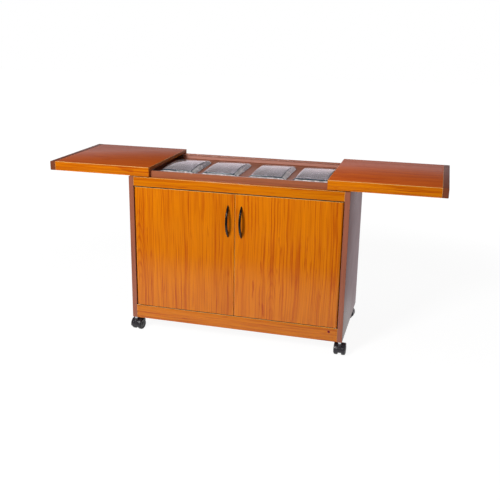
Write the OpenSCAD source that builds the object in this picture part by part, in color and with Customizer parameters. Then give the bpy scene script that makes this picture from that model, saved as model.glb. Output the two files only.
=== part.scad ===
// Food warmer trolley: a cabinet on four casters with two doors, a heated well with
// four covered glass dishes in its top, and two worktop trays that slide apart over it.
// Millimetres, +Z up. The origin is on the floor, under the middle of the whole trolley
// as it stands with both trays pulled out.

/* [Cabinet] */
// Width over the two side panels
cabinet_w = 950; // [900:5:1000]
// Depth of the side panels, with their front edge strips
cabinet_d = 470; // [450:5:500]
// Height of the side panels
side_h = 649; // [560:5:700]
// Thickness of the side panels
side_t = 22; // [20:1:25]
// Thickness of the rails, doors, base board and top board
board_t = 18; // [16:1:19]
// Thickness of the strips on the front edges of the side panels
strip_t = 2; // [1:0.5:3]
// Thickness of the back panel
back_t = 6; // [4:1:9]
// Height of the plinth rail under the doors
plinth_h = 61; // [52:1:80]
// Height of the rail over the doors
top_rail_h = 41; // [34:1:50]
// How far the base board stands above the plinth rail, as a stop for the doors
base_lip = 5; // [4:0.5:8]
// Edge length of the blocks that join the boards in the corners
block_w = 20; // [16:1:26]
// Distance of the front blocks from the front of the cabinet
block_front = 50; // [45:1:60]
// Distance of the back blocks from the back of the cabinet
block_back = 90; // [60:1:110]

/* [Doors] */
// Gap around the doors and between them
door_gap = 2.5; // [2.5:0.1:4]
// Clearance of the closed doors from the base board
door_back_gap = 0.4; // [0.3:0.1:1]
// Radius of the pivot pins
pin_r = 2.5; // [2:0.1:3]
// Depth of the pivot pins in the doors
pin_in_door = 15; // [10:1:25]
// Depth of the pivot bushes in the rails
bush_depth = 9; // [7:1:12]
// Wall of the pivot bushes
bush_wall = 1.5; // [1.2:0.1:2]
// Running clearance of a pin or stem in its bore, on the radius
running_fit = 0.05; // [0.03:0.01:0.08]

/* [Handles] */
// Length of a handle
handle_l = 130; // [110:2:150]
// Drop from the doors' top edges to the handles' middles
handle_drop = 119.5; // [80:0.5:260]
// Distance of each handle from the trolley's middle
handle_x = 29; // [22:1:40]
// How far the middle line of the bow stands out from the door
handle_bow = 26; // [22:1:32]
// Thickness of the bow
handle_w = 11; // [9:0.5:13]
// Width of the bow at its tips
handle_tip_w = 6; // [5:0.5:8]
// Distance between the two handle screws
screw_pitch = 96; // [80:2:104]
// Radius of the handle screws
screw_r = 2; // [1.5:0.1:2.4]
// Radius of the foot that each handle screw enters
foot_r = 5; // [4:0.2:5.4]

/* [Top frame] */
// Distance of the frame from the sides of the cabinet
frame_end_inset = 35; // [30:0.5:40]
// Distance of the frame from the back of the cabinet
frame_back_inset = 7; // [6:0.5:12]
// Height of the frame above the cabinet
frame_h = 26.7; // [25:0.1:32]
// Thickness of the frame's walls
frame_t = 12; // [9:0.5:15]
// Width of the lip that holds the trays down
rail_lip = 9; // [7:0.5:12]
// Thickness of the steel slide rails and brackets
steel_t = 1.5; // [1:0.1:2]

/* [Sliding trays] */
// How far an open tray still lies over the frame
tray_overlap = 59; // [50:0.5:70]
// Clearance of a closed tray's end trim from the frame
tray_end_gap = 2; // [1:0.5:4]
// Thickness of the tray boards and aprons
tray_t = 16; // [12:1:18]
// Height of a tray at its edges
tray_h = 39.5; // [34:0.5:42]
// Clearance of the aprons from the frame
tray_side_gap = 2; // [1:0.5:3]
// Running clearance under the trays and around their glides
slide_gap = 0.3; // [0.3:0.1:0.6]
// Width of the dark trim at the outer end of a tray
trim_w = 24; // [18:1:28]
// Round of the trim's outer edges
trim_r = 3; // [1:0.5:5]

/* [Dish well] */
// Sheet thickness of the well and its shield
sheet_t = 1; // [0.8:0.1:1.5]
// Thickness of the deck plate around the dishes
deck_t = 1.5; // [1:0.1:2.5]
// Gap between the outer dishes and the ends of the well
well_end_gap = 19.5; // [15:0.5:22]
// Gap between the dishes and the front and back of the well
well_side_gap = 22.5; // [18:0.5:26]
// Distance of the shield's walls from the well
shield_gap = 25; // [15:1:28]
// Depth of the well below the cabinet's top
well_depth = 67; // [64:1:90]
// Width of the flanges on the well and its shield
flange_w = 12; // [8:1:16]
// Space for the heating element under the well
element_room = 17; // [14:1:30]
// Radius of the heating element's tube
element_r = 3.25; // [3:0.05:4]
// Distance of the element's outer runs from the front and back of the well
element_edge = 26; // [20:1:40]
// Distance of the element's bends from the ends of the well
element_end = 75; // [60:1:90]

/* [Dishes] */
// Gap between the rims of the two inner dishes
dish_middle_gap = 46; // [30:1:60]
// Gap between the rims of an inner and an outer dish
dish_pair_gap = 28; // [20:1:36]
// Clearance of the outer dishes from the open trays when they are lifted out
dish_tray_gap = 2; // [1.5:0.5:5]
// Width of the ledge between the frame and the rims in front and behind
dish_ledge = 79.5; // [70:0.5:90]
// Width of the rim around the dish's body
rim_w = 13.5; // [11:0.5:18]
// Thickness of the rim
rim_t = 3.4; // [2.5:0.1:3.5]
// Depth of a dish below the deck
dish_depth = 58; // [40:1:60]
// Wall thickness of the dishes
glass_t = 4; // [3:0.2:5]
// Slope of the dishes' walls, drawn in at the bottom
dish_draft = 9; // [5:0.5:14]
// Gap between a dish's body and the hole in the deck
dish_gap = 1.5; // [1:0.1:3]

/* [Lids] */
// How far a lid ends before the front and back of the dish's rim
lid_end_gap = 6; // [3:0.5:10]
// How far a lid's long sides lean in
lid_lean = 16.5; // [12:0.5:20]
// Height of a lid at its middle
lid_h = 18.3; // [15:0.1:18.4]
// How much lower a lid's top is at its two ends
lid_arch = 8; // [3:0.5:9]
// Thickness of the lids
lid_t = 3.5; // [3:0.1:4.5]

/* [Casters] */
// Height of the casters, from the floor to the side panels
caster_h = 68; // [66:1:80]
// Radius of the wheels
wheel_r = 25; // [22:0.5:26]
// Width of each wheel
wheel_w = 17; // [14:0.5:20]
// Distance between the two wheels of a caster
wheel_apart = 16; // [16:0.5:20]
// How far the wheels trail behind the stem
caster_trail = 18; // [14:1:22]
// Wall of the hood over the wheels
hood_t = 2.2; // [1.8:0.1:3]
// Gap between the wheels and the hood
hood_gap = 1.3; // [1:0.1:2]
// Radius of the axle
axle_r = 3; // [2.5:0.1:4]
// Radius of the stem
stem_r = 4; // [3.5:0.1:5]
// Length of the stem inside the side panel
stem_in = 36; // [30:1:45]
// Distance of the front stems from the front of the cabinet
front_stem_inset = 14; // [12:1:60]
// Distance of the rear stems from the back of the cabinet
rear_stem_inset = 28; // [26:1:60]

// Turn of the front left caster from straight ahead, in degrees
front_left_turn = -10; // [-180:5:180]
// Turn of the front right caster
front_right_turn = 0; // [-180:5:180]
// Turn of the rear left caster
rear_left_turn = 150; // [90:5:270]
// Turn of the rear right caster
rear_right_turn = 85; // [85:5:275]

/* [Fittings] */
// Height of the indicator lamp below the top of the plinth rail
lamp_drop = 18; // [16:0.5:30]
// Distance of the lamp from the inside of the right side panel
lamp_inset = 36; // [28:1:60]
// Radius of the lamp's lens
lamp_r = 5.5; // [4:0.5:5.5]
// Height of the shelf's underside above the floor
shelf_z = 372; // [300:2:450]
// Thickness of the shelf
shelf_t = 15; // [12:1:18]
// Distance of the front shelf pins from the front of the cabinet
shelf_pin_front = 70; // [55:1:100]
// Distance of the back shelf pins from the back of the cabinet
shelf_pin_back = 90; // [70:1:120]
// Distance of the cord gland from the inside of the right side panel
gland_inset = 61; // [40:1:90]
// Height of the cord gland above the bottom of the cabinet
gland_rise = 25; // [20:0.5:32]
// Radius of the bore in the cord gland
gland_bore_r = 3.8; // [3:0.1:4.5]
// Radius of the leads inside the cabinet
lead_r = 3; // [2:0.1:3.5]

/* [Hidden] */
$fn = 64;
left = -1;
right = 1;
eps = 0.01;

// Colours as the photograph shows them
teak = [0.85, 0.46, 0.08];
teak_dark = [0.62, 0.36, 0.26];
umber = [0.47, 0.28, 0.22];
taupe = [0.50, 0.44, 0.44];
steel = [0.72, 0.72, 0.74];
glass = [0.70, 0.68, 0.70];
black = [0.08, 0.08, 0.09];
charcoal = [0.17, 0.17, 0.18];
cream = [0.88, 0.86, 0.78];

// Main planes: the model is centred between the handles' front and the trays' back
frame_d = cabinet_d - tray_side_gap - tray_t - frame_back_inset;
tray_d = frame_d + 2 * (tray_side_gap + tray_t);
handle_reach = handle_bow + handle_w / 2;
front_y = (handle_reach - max(tray_d, cabinet_d)) / 2;
back_y = front_y + cabinet_d;
half_w = cabinet_w / 2;
inner_x = half_w - side_t;
cabinet_top = caster_h + side_h;
rail_back_y = front_y + board_t;
panel_front_y = back_y - back_t;

// Heights in the cabinet
plinth_top = caster_h + plinth_h;
floor_top = plinth_top + base_lip;
floor_under = floor_top - board_t;
top_rail_under = cabinet_top - top_rail_h;
top_board_under = cabinet_top - board_t;
door_low = plinth_top + door_gap;
door_high = top_rail_under - door_gap;
handle_z = door_high - handle_drop;

// The doors turn about the middle of their rounded outer edge
pivot_y = front_y + board_t / 2;
pivot_x = inner_x - door_gap - board_t / 2;

// Heights and edges of the frame and the trays on it
frame_front_y = front_y + tray_t + tray_side_gap;
frame_back_y = frame_front_y + frame_d;
frame_hx = half_w - frame_end_inset;
frame_top = cabinet_top + frame_h;
board_under = frame_top + slide_gap;
tray_top = board_under + tray_t;
tray_low = tray_top - tray_h;
tray_back_y = front_y + tray_d;
tray_board_l = frame_hx + tray_end_gap;
tray_open_x = frame_hx - tray_overlap;

// The well lies in the middle of the frame
well_y = (frame_front_y + frame_back_y) / 2;
well_low = cabinet_top - well_depth;
deck_low = cabinet_top + sheet_t;
deck_top = deck_low + deck_t;

// Dishes and lids: the four dishes share the length between the open trays
dish_rim_hx = (tray_open_x - dish_tray_gap - dish_pair_gap - dish_middle_gap / 2) / 4;
dish_rim_hy = frame_d / 2 - frame_t - dish_ledge;
rim_low = deck_top + slide_gap;
rim_top = rim_low + rim_t;
dish_hx = dish_rim_hx - rim_w;
dish_hy = dish_rim_hy - rim_w;
dish_low = deck_top - dish_depth;
dish_inner_x = dish_middle_gap / 2 + dish_rim_hx;
dish_outer_x = tray_open_x - dish_tray_gap - dish_rim_hx;
dish_xs = [-dish_outer_x, -dish_inner_x, dish_inner_x, dish_outer_x];
lid_low = rim_top + slide_gap;
lid_hy = dish_rim_hy - lid_end_gap;

// Well around the dishes, and the shield around the well
well_hx = dish_outer_x + dish_hx + well_end_gap;
well_hy = dish_hy + well_side_gap;
shield_low = well_low - element_room - sheet_t;
shield_hx = well_hx + sheet_t + shield_gap;
shield_hy = well_hy + sheet_t + shield_gap;

// The slide rails' lips and the glides that hook under them
lip_drop = 3;
end_stop_gap = 0.5;
lip_top = frame_top - lip_drop;
lip_under = lip_top - steel_t;
glide_x0 = tray_open_x + 2;
glide_x1 = frame_hx - frame_t - end_stop_gap;
bracket_y = rail_lip + 2;

// Shelf pins, back panel screws and pivot bushes
shelf_pin_r = 2.5;
shelf_pin_in = 8;
shelf_pin_ys = [front_y + shelf_pin_front, back_y - shelf_pin_back];
back_screw_r = 1.6;
back_screw_l = 16;
back_screw_edge = 25;
back_screw_xs = [for (i = [-2:2]) i * (inner_x - back_screw_edge) / 2];
back_screw_zs = [floor_top - board_t / 2, cabinet_top - board_t / 2];
bush_r = pin_r + running_fit + bush_wall;
bush_flange_t = 1;
catch_x = 12;
catch_h = 14;
plate_hw = 9;
plate_t = 1.2;

// Lamp, gland, terminal block and leads
lamp_x = inner_x - lamp_inset;
lamp_z = plinth_top - lamp_drop;
lamp_neck_r = lamp_r - 1.5;
gland_x = inner_x - gland_inset;
gland_z = caster_h + gland_rise;
gland_neck_r = gland_bore_r + 3.2;
gland_nose = 10;
gland_in = 9;
lead_side = 22;
lead_back = 26;
lead_turn = 70;
lead_drop = 7;
terminal_side = 38;
terminal_front = 16;
lead_x = inner_x - lead_side;
lead_y = panel_front_y - lead_back;
lead_in_y = lead_y - lead_turn;
terminal_x = lead_x - terminal_side;
terminal_y = lead_y - terminal_front;
lead_z = floor_under - lead_drop;

// Heating element
element_z = well_low - slide_gap - element_r;
element_pitch = (well_hy - element_edge) / 1.5;
element_tail = 22;
run_hx = well_hx - element_end;
element_end_x = run_hx + element_tail;

// Casters stand under the middle of each side panel
stem_x = half_w - side_t / 2;
stem_front_y = front_y + front_stem_inset;
stem_back_y = back_y - rear_stem_inset;
socket_r = stem_r + running_fit + 2;
socket_flange_t = 1.5;
boss_r = stem_r + 3.2;
collar_r = stem_r + 2.5;
hood_top = caster_h - 11;
stem_in_boss = 9;
wheel_in = wheel_apart / 2;
wheel_out = wheel_in + wheel_w;
wheel_cap_t = 3;

// Rectangle with rounded corners, centred
module rounded_plate(hx, hy, r, h) {
    linear_extrude(h) {
        square([2 * (hx - r), 2 * hy], center = true);
        square([2 * hx, 2 * (hy - r)], center = true);
        for (sx = [-1, 1], sy = [-1, 1])
            translate([sx * (hx - r), sy * (hy - r)])
                circle(r);
    }
}

// Round bar along +Y
module bar_y(x, y, z, r, l) {
    translate([x, y, z])
        rotate([-90, 0, 0])
            cylinder(r = r, h = l);
}

// Round bar along X, centred on x
module bar_x(x, y, z, r, l) {
    translate([x, y, z])
        rotate([0, 90, 0])
            cylinder(r = r, h = l, center = true);
}

// Box between two corners
module block(low, high) {
    translate(low)
        cube(high - low);
}

// Pieces are drawn on the right and mirrored for the left
module handed(s) {
    if (s < 0)
        mirror([1, 0, 0])
            children();
    else
        children();
}

// A stem stands in each corner of the cabinet
module at_corners() {
    for (sx = [-1, 1], y = [stem_front_y, stem_back_y])
        translate([sx * stem_x, y, 0])
            children();
}

// Side panel, with the bores for the stems and the shelf pins
module side_panel() {
    color(taupe)
        difference() {
            block([inner_x, front_y + strip_t, caster_h], [half_w, back_y, cabinet_top]);
            for (y = [stem_front_y, stem_back_y])
                translate([stem_x, y, caster_h - 1])
                    cylinder(r = socket_r, h = stem_in + 3);
            for (y = shelf_pin_ys)
                bar_x(inner_x, y, shelf_z - shelf_pin_r, shelf_pin_r, 2 * shelf_pin_in);
        }
}

// Strips with rounded corners on the front edges of the side panels
module side_edge_strips() {
    color(umber)
        for (s = [left, right])
            handed(s)
                translate([inner_x, front_y, caster_h])
                    linear_extrude(side_h)
                        intersection() {
                            square([side_t, strip_t]);
                            union() {
                                translate([strip_t, 0])
                                    square([side_t - 2 * strip_t, strip_t]);
                                for (x = [strip_t, side_t - strip_t])
                                    translate([x, strip_t])
                                        circle(strip_t);
                            }
                        }
}

// Bores for the back panel's screws
module back_screw_holes() {
    for (x = back_screw_xs, z = back_screw_zs)
        bar_y(x, back_y - back_screw_l - 1, z, back_screw_r + running_fit, back_screw_l + 2);
}

// Base board: the cupboard's floor, with a hole for the lead
module base_board() {
    color(teak_dark)
        difference() {
            block([-inner_x, rail_back_y + door_back_gap, floor_under],
                  [inner_x, panel_front_y, floor_top]);
            translate([lead_x, lead_y, floor_under - 1])
                cylinder(r = lead_r + 2, h = board_t + 2);
            back_screw_holes();
        }
}

// Plinth rail, with the bores for the lamp and the lower pivot bushes
module plinth_rail() {
    color(teak)
        difference() {
            block([-inner_x, front_y, caster_h], [inner_x, rail_back_y, plinth_top]);
            bar_y(lamp_x, front_y - 1, lamp_z, lamp_neck_r + running_fit, board_t + 2);
            for (s = [left, right])
                translate([s * pivot_x, pivot_y, plinth_top - bush_depth])
                    cylinder(r = bush_r, h = bush_depth + 1);
        }
}

// Rail over the doors, with the bores for the upper pivot bushes
module top_rail() {
    color(teak)
        difference() {
            block([-inner_x, front_y, top_rail_under], [inner_x, rail_back_y, cabinet_top]);
            for (s = [left, right])
                translate([s * pivot_x, pivot_y, top_rail_under - 1])
                    cylinder(r = bush_r, h = bush_depth + 1);
        }
}

// Top board, cut out for the well
module top_board() {
    cut_gap = 2;
    color(teak_dark)
        difference() {
            block([-inner_x, rail_back_y, top_board_under], [inner_x, panel_front_y, cabinet_top]);
            translate([0, well_y, top_board_under - 1])
                rounded_plate(well_hx + sheet_t + cut_gap, well_hy + sheet_t + cut_gap, 14,
                              board_t + 2);
            back_screw_holes();
        }
}

// Back panel, set between the side panels
module back_panel() {
    color(umber)
        difference() {
            block([-inner_x, panel_front_y, caster_h], [inner_x, back_y, cabinet_top]);
            back_screw_holes();
            bar_y(gland_x, panel_front_y - 1, gland_z, gland_neck_r + running_fit, back_t + 2);
        }
}

// Pan-head screws with a crossed slot
module back_panel_screws() {
    head_h = 2;
    slot_w = 0.7;
    color(steel)
        for (x = back_screw_xs, z = back_screw_zs)
            difference() {
                union() {
                    bar_y(x, back_y - back_screw_l, z, back_screw_r, back_screw_l);
                    translate([x, back_y, z])
                        rotate([-90, 0, 0])
                            cylinder(r1 = 2.2 * back_screw_r, r2 = 1.5 * back_screw_r, h = head_h);
                }
                for (a = [0, 90])
                    translate([x, back_y + head_h, z])
                        rotate([0, a, 0])
                            cube([2 * back_screw_r, head_h, slot_w], center = true);
            }
}

// Loose shelf in the cupboard
module cupboard_shelf() {
    side_gap = 1.5;
    front_gap = 24;
    back_gap = 46;
    color(teak_dark)
        block([-inner_x + side_gap, rail_back_y + front_gap, shelf_z],
              [inner_x - side_gap, panel_front_y - back_gap, shelf_z + shelf_t]);
}

// Pins that carry the shelf
module shelf_pins() {
    collar_t = 1.2;
    color(steel)
        for (s = [left, right], y = shelf_pin_ys)
            handed(s) {
                bar_x(inner_x, y, shelf_z - shelf_pin_r, shelf_pin_r - running_fit,
                      2 * shelf_pin_in - 1);
                bar_x(inner_x - collar_t / 2, y, shelf_z - shelf_pin_r, shelf_pin_r - running_fit + 1.5,
                      collar_t);
            }
}

// Moulded blocks that join the boards to the side panels
module corner_block() {
    rotate([90, 0, 0])
        linear_extrude(2 * block_w, center = true)
            polygon([[0, 0], [-block_w, 0], [-block_w, block_w / 3],
                     [-block_w / 3, block_w], [0, block_w]]);
}
module corner_blocks() {
    color(cream)
        for (s = [left, right], y = [front_y + block_front, back_y - block_back])
            handed(s) {
                translate([inner_x, y, floor_top])
                    corner_block();
                translate([inner_x, y, top_board_under])
                    mirror([0, 0, 1])
                        corner_block();
            }
}

// Frame around the deck: the trays slide on its top edge
module top_frame() {
    color(umber)
        difference() {
            translate([0, well_y, cabinet_top])
                rounded_plate(frame_hx, frame_d / 2, 2, frame_h);
            translate([0, well_y, cabinet_top - 1])
                rounded_plate(frame_hx - frame_t, frame_d / 2 - frame_t, 1, frame_h + 2);
        }
}

// Places a piece at the frame's front wall, and mirrored at its back wall:
// there y is the distance from the wall's inner face
module at_both_rails() {
    for (end = [0, 1])
        translate([0, well_y, 0])
            mirror([0, end, 0])
                translate([0, -frame_d / 2 + frame_t, 0])
                    children();
}

// Steel angles along the frame's walls
module slide_rails() {
    leg_low = deck_top + 3;
    color(umber)
        at_both_rails()
            rotate([90, 0, 90])
                linear_extrude(2 * (frame_hx - frame_t - 1), center = true)
                    polygon([[0, leg_low], [steel_t, leg_low], [steel_t, lip_under],
                             [rail_lip, lip_under], [rail_lip, lip_top], [0, lip_top]]);
}

// Deck plate with a hole for each dish
module deck_plate() {
    edge_gap = 0.5;
    color(umber)
        difference() {
            translate([0, well_y, deck_low])
                rounded_plate(frame_hx - frame_t - edge_gap, frame_d / 2 - frame_t - edge_gap, 2,
                              deck_t);
            for (x = dish_xs)
                translate([x, well_y, deck_low - 1])
                    rounded_plate(dish_hx + dish_gap, dish_hy + dish_gap, 15, deck_t + 2);
        }
}

// Pressed aluminium well that the dishes hang in
module hot_well() {
    color(steel)
        translate([0, well_y, well_low])
            difference() {
                union() {
                    rounded_plate(well_hx + sheet_t, well_hy + sheet_t, 13, well_depth + sheet_t);
                    translate([0, 0, well_depth])
                        rounded_plate(well_hx + sheet_t + flange_w, well_hy + sheet_t + flange_w, 18,
                                      sheet_t);
                }
                translate([0, 0, sheet_t])
                    rounded_plate(well_hx, well_hy, 12, well_depth + 1);
            }
}

// Tubular heating element, laid in four runs under the well
module element_bend(x, y, turn) {
    translate([x, y, element_z])
        rotate([0, 0, turn])
            rotate_extrude(angle = 180)
                translate([element_pitch / 2, 0])
                    circle(element_r);
}
module heating_element() {
    color(steel)
        translate([0, well_y, 0]) {
            for (i = [0:3])
                translate([-run_hx, (i - 1.5) * element_pitch, element_z])
                    rotate([0, 90, 0])
                        cylinder(r = element_r, h = run_hx + (i == 0 || i == 3 ? element_end_x : run_hx));
            element_bend(-run_hx, element_pitch, 90);
            element_bend(-run_hx, -element_pitch, 90);
            element_bend(run_hx, 0, -90);
        }
}

// Saddle clips that hold the element to the well
module element_clips() {
    clip_t = 0.8;
    clip_l = 10;
    hold_r = element_r + running_fit;
    ear = 8;
    color(steel)
        for (x = [-0.6, 0.6], i = [0:3])
            translate([x * run_hx, well_y + (i - 1.5) * element_pitch, 0])
                difference() {
                    union() {
                        bar_x(0, 0, element_z, hold_r + clip_t, clip_l);
                        block([-clip_l / 2, -hold_r - clip_t, element_z],
                              [clip_l / 2, hold_r + clip_t, well_low]);
                        block([-clip_l / 2, -hold_r - ear, well_low - clip_t],
                              [clip_l / 2, hold_r + ear, well_low]);
                    }
                    bar_x(0, 0, element_z, hold_r, clip_l + 2);
                    block([-clip_l, -hold_r, element_z], [clip_l, hold_r, well_low + 1]);
                }
}

// Shield under the element, which is also the cupboard's ceiling
module heat_shield() {
    shield_depth = top_board_under - shield_low;
    color(steel)
        difference() {
            translate([0, well_y, shield_low]) {
                rounded_plate(shield_hx, shield_hy, 14, shield_depth);
                translate([0, 0, shield_depth - sheet_t])
                    rounded_plate(shield_hx + flange_w, shield_hy + flange_w, 18, sheet_t);
            }
            translate([0, well_y, shield_low + sheet_t])
                rounded_plate(shield_hx - sheet_t, shield_hy - sheet_t, 13, shield_depth);
            bar_x(shield_hx, lead_in_y, element_z, lead_r + 1, 10);
        }
}

// Thermostat button under the middle of the well
module thermostat() {
    flange_h = 4;
    body_h = 10;
    tab = 4;
    end_gap = 60;
    color(black)
        translate([run_hx - end_gap, well_y, well_low]) {
            translate([0, 0, -flange_h])
                cylinder(r = 12, h = flange_h);
            translate([0, 0, -body_h])
                cylinder(r = 8, h = body_h);
            for (s = [-1, 1])
                translate([0, s * tab, -body_h - tab / 2])
                    cube([6, 0.8, tab + 1], center = true);
        }
}

// Terminal block under the base board
module terminal_block() {
    hx = 15;
    hy = 10;
    h = 15;
    color(cream)
        difference() {
            block([terminal_x - hx, terminal_y - hy, floor_under - h],
                  [terminal_x + hx, terminal_y + hy, floor_under]);
            for (i = [-1:1])
                translate([terminal_x + i * 9, terminal_y, floor_under - h - 1])
                    cylinder(r = 2, h = 5);
        }
}

// Gland in the back panel where the mains lead enters
module cord_gland() {
    neck_l = gland_in + back_t + gland_nose;
    color(black)
        difference() {
            union() {
                bar_y(gland_x, panel_front_y - gland_in, gland_z, gland_neck_r, neck_l);
                bar_y(gland_x, back_y, gland_z, gland_neck_r + 4, 3);
                bar_y(gland_x, panel_front_y - 5, gland_z, gland_neck_r + 3, 5);
            }
            bar_y(gland_x, panel_front_y - gland_in - 1, gland_z, gland_bore_r, neck_l + 2);
        }
}

// Points along a route with its corners rounded
function corner_arc(a, b, c, r, steps) =
    let (p = b + r * (a - b) / norm(a - b), q = b + r * (c - b) / norm(c - b))
        [for (i = [0:steps]) let (t = i / steps) (1 - t) * (1 - t) * p + 2 * t * (1 - t) * b + t * t * q];
function rounded_route(points, r, steps) =
    [points[0],
     for (i = [1:len(points) - 2]) each corner_arc(points[i - 1], points[i], points[i + 1], r, steps),
     points[len(points) - 1]];

// Directions along a route, and a side vector carried along it without twist
function unit(v) = v / norm(v);
function headings(p) =
    [for (i = [0:len(p) - 1]) unit(p[min(i + 1, len(p) - 1)] - p[max(i - 1, 0)])];
function side_vectors(dirs, side, i = 0) =
    i == len(dirs) ? []
    : let (here = unit(side - (side * dirs[i]) * dirs[i]))
        concat([here], side_vectors(dirs, here, i + 1));

// Lead of eight sides along a rounded route
module lead(points, first_side) {
    sides = 8;
    route = rounded_route(points, 7, 4);
    dirs = headings(route);
    outs = side_vectors(dirs, first_side);
    rings = [for (i = [0:len(route) - 1], k = [0:sides - 1])
                 route[i] + lead_r * (cos(k * 360 / sides) * outs[i]
                                      + sin(k * 360 / sides) * cross(dirs[i], outs[i]))];
    last = (len(route) - 1) * sides;
    walls = [for (i = [0:len(route) - 2], k = [0:sides - 1])
                 let (a = i * sides + k, b = i * sides + (k + 1) % sides)
                     each [[a, a + sides, b], [b, a + sides, b + sides]]];
    polyhedron(rings, concat([[for (k = [0:sides - 1]) k]], walls,
                             [[for (k = [sides - 1:-1:0]) last + k]]));
}

// Leads from the terminal block to the element and to the lamp
module internal_leads() {
    element_end_y = well_y + 1.5 * element_pitch;
    color(black) {
        lead([[terminal_x + 15, terminal_y, lead_z], [lead_x, terminal_y, lead_z],
              [lead_x, lead_y, lead_z], [lead_x, lead_y, element_z - 40],
              [lead_x, lead_in_y, element_z], [element_end_x + 30, lead_in_y, element_z],
              [element_end_x + 16, element_end_y, element_z],
              [element_end_x, element_end_y, element_z]], [0, 0, 1]);
        lead([[terminal_x, terminal_y - 10, lead_z], [terminal_x, rail_back_y + 50, lead_z],
              [lamp_x, rail_back_y + 28, lamp_z], [lamp_x, rail_back_y + 10, lamp_z]],
             [0, 0, 1]);
    }
}

// Indicator lamp: a domed lens with a neck through the plinth rail
module indicator_lamp() {
    lens_h = 2.2;
    dome_r = 2 * lamp_r;
    color([0.55, 0.03, 0.08]) {
        bar_y(lamp_x, front_y, lamp_z, lamp_neck_r, board_t + 10);
        translate([lamp_x, front_y, lamp_z])
            rotate([90, 0, 0])
                intersection() {
                    translate([0, 0, lens_h - dome_r])
                        sphere(dome_r);
                    cylinder(r = lamp_r, h = lens_h);
                }
    }
}

// Double magnetic catch on the base board
module door_catch() {
    catch_y = rail_back_y + plate_t + door_back_gap;
    catch_w = 46;
    catch_d = 15;
    pole_hw = 4;
    pole_low = 4;
    pole_h = 6;
    color(black)
        difference() {
            block([-catch_w / 2, catch_y, floor_top], [catch_w / 2, catch_y + catch_d, floor_top + catch_h]);
            for (s = [-1, 1])
                block([s * catch_x - pole_hw, catch_y - 1, floor_top + pole_low],
                      [s * catch_x + pole_hw, catch_y + 1, floor_top + pole_low + pole_h]);
        }
}

// Flanged bushes that the door pins turn in
module door_bushes() {
    color(cream)
        for (s = [left, right], up = [0, 1])
            translate([s * pivot_x, pivot_y, up == 1 ? top_rail_under : plinth_top])
                mirror([0, 0, up])
                    difference() {
                        union() {
                            translate([0, 0, -bush_depth])
                                cylinder(r = bush_r, h = bush_depth);
                            cylinder(r = bush_r + 2, h = bush_flange_t);
                        }
                        translate([0, 0, -bush_depth - 1])
                            cylinder(r = pin_r + running_fit, h = bush_depth + bush_flange_t + 2);
                    }
}

// Door: its outer edge is rounded about the pivot
module door() {
    color(teak)
        difference() {
            translate([0, 0, door_low])
                linear_extrude(door_high - door_low) {
                    translate([door_gap / 2, front_y])
                        square([pivot_x - door_gap / 2, board_t]);
                    translate([pivot_x, pivot_y])
                        circle(board_t / 2);
                }
            for (z = [door_low - 1, door_high - pin_in_door])
                translate([pivot_x, pivot_y, z])
                    cylinder(r = pin_r + running_fit, h = pin_in_door + 1);
            for (z = [-1, 1])
                bar_y(handle_x, front_y - 1, handle_z + z * screw_pitch / 2, screw_r + 0.3,
                      board_t + 2);
        }
}

// Bow handle: a round bar bent to an arc, narrowed to its tips, on two feet
module handle() {
    half_l = handle_l / 2;
    chord = half_l - 3;
    arc_r = (pow(chord, 2) + pow(handle_bow, 2)) / (2 * handle_bow);
    arc_turn = asin(chord / arc_r) + 8;
    taper = (handle_w - handle_tip_w) / 2;
    lens_r = (pow(half_l, 2) + pow(taper, 2)) / (2 * taper);
    color(black)
        translate([handle_x, front_y, handle_z])
            difference() {
                union() {
                    intersection() {
                        translate([0, arc_r - handle_bow, 0])
                            rotate([0, 90, 0])
                                rotate([0, 0, -90 - arc_turn])
                                    rotate_extrude(angle = 2 * arc_turn, $fn = 180)
                                        translate([arc_r, 0])
                                            circle(handle_w / 2, $fn = 48);
                        rotate([90, 0, 0])
                            linear_extrude(handle_reach + 1)
                                intersection() {
                                    translate([lens_r - handle_w / 2, 0])
                                        circle(lens_r, $fn = 720);
                                    translate([handle_w / 2 - lens_r, 0])
                                        circle(lens_r, $fn = 720);
                                    square([handle_w, handle_l], center = true);
                                }
                    }
                    for (z = [-1, 1])
                        intersection() {
                            translate([0, 0, z * screw_pitch / 2])
                                rotate([90, 0, 0])
                                    cylinder(r = foot_r, h = 12);
                            bar_x(0, arc_r - handle_bow, 0, arc_r, handle_w, $fn = 360);
                        }
                }
                for (z = [-1, 1])
                    translate([0, 1, z * screw_pitch / 2])
                        rotate([90, 0, 0])
                            cylinder(r = screw_r + running_fit, h = 10);
            }
}

// Steel fittings of a door: pivot pins, handle screws and catch plate
module door_fittings() {
    collar_h = door_gap - bush_flange_t - slide_gap;
    pin_out = bush_depth + door_gap - 1;
    pin_l = pin_out + pin_in_door - 1;
    color(steel) {
        translate([pivot_x, pivot_y, door_low - pin_out])
            cylinder(r = pin_r, h = pin_l);
        translate([pivot_x, pivot_y, door_low - collar_h])
            cylinder(r = pin_r + 2, h = collar_h);
        translate([pivot_x, pivot_y, door_high + pin_out - pin_l])
            cylinder(r = pin_r, h = pin_l);
        for (z = [-1, 1])
            translate([handle_x, rail_back_y, handle_z + z * screw_pitch / 2])
                rotate([90, 0, 0]) {
                    translate([0, 0, -2.4])
                        cylinder(r = 2 * screw_r, h = 2.4);
                    cylinder(r = screw_r, h = board_t + 8);
                }
        block([catch_x - plate_hw, rail_back_y, floor_top + 2],
              [catch_x + plate_hw, rail_back_y + plate_t, floor_top + catch_h - 1]);
    }
}

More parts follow.
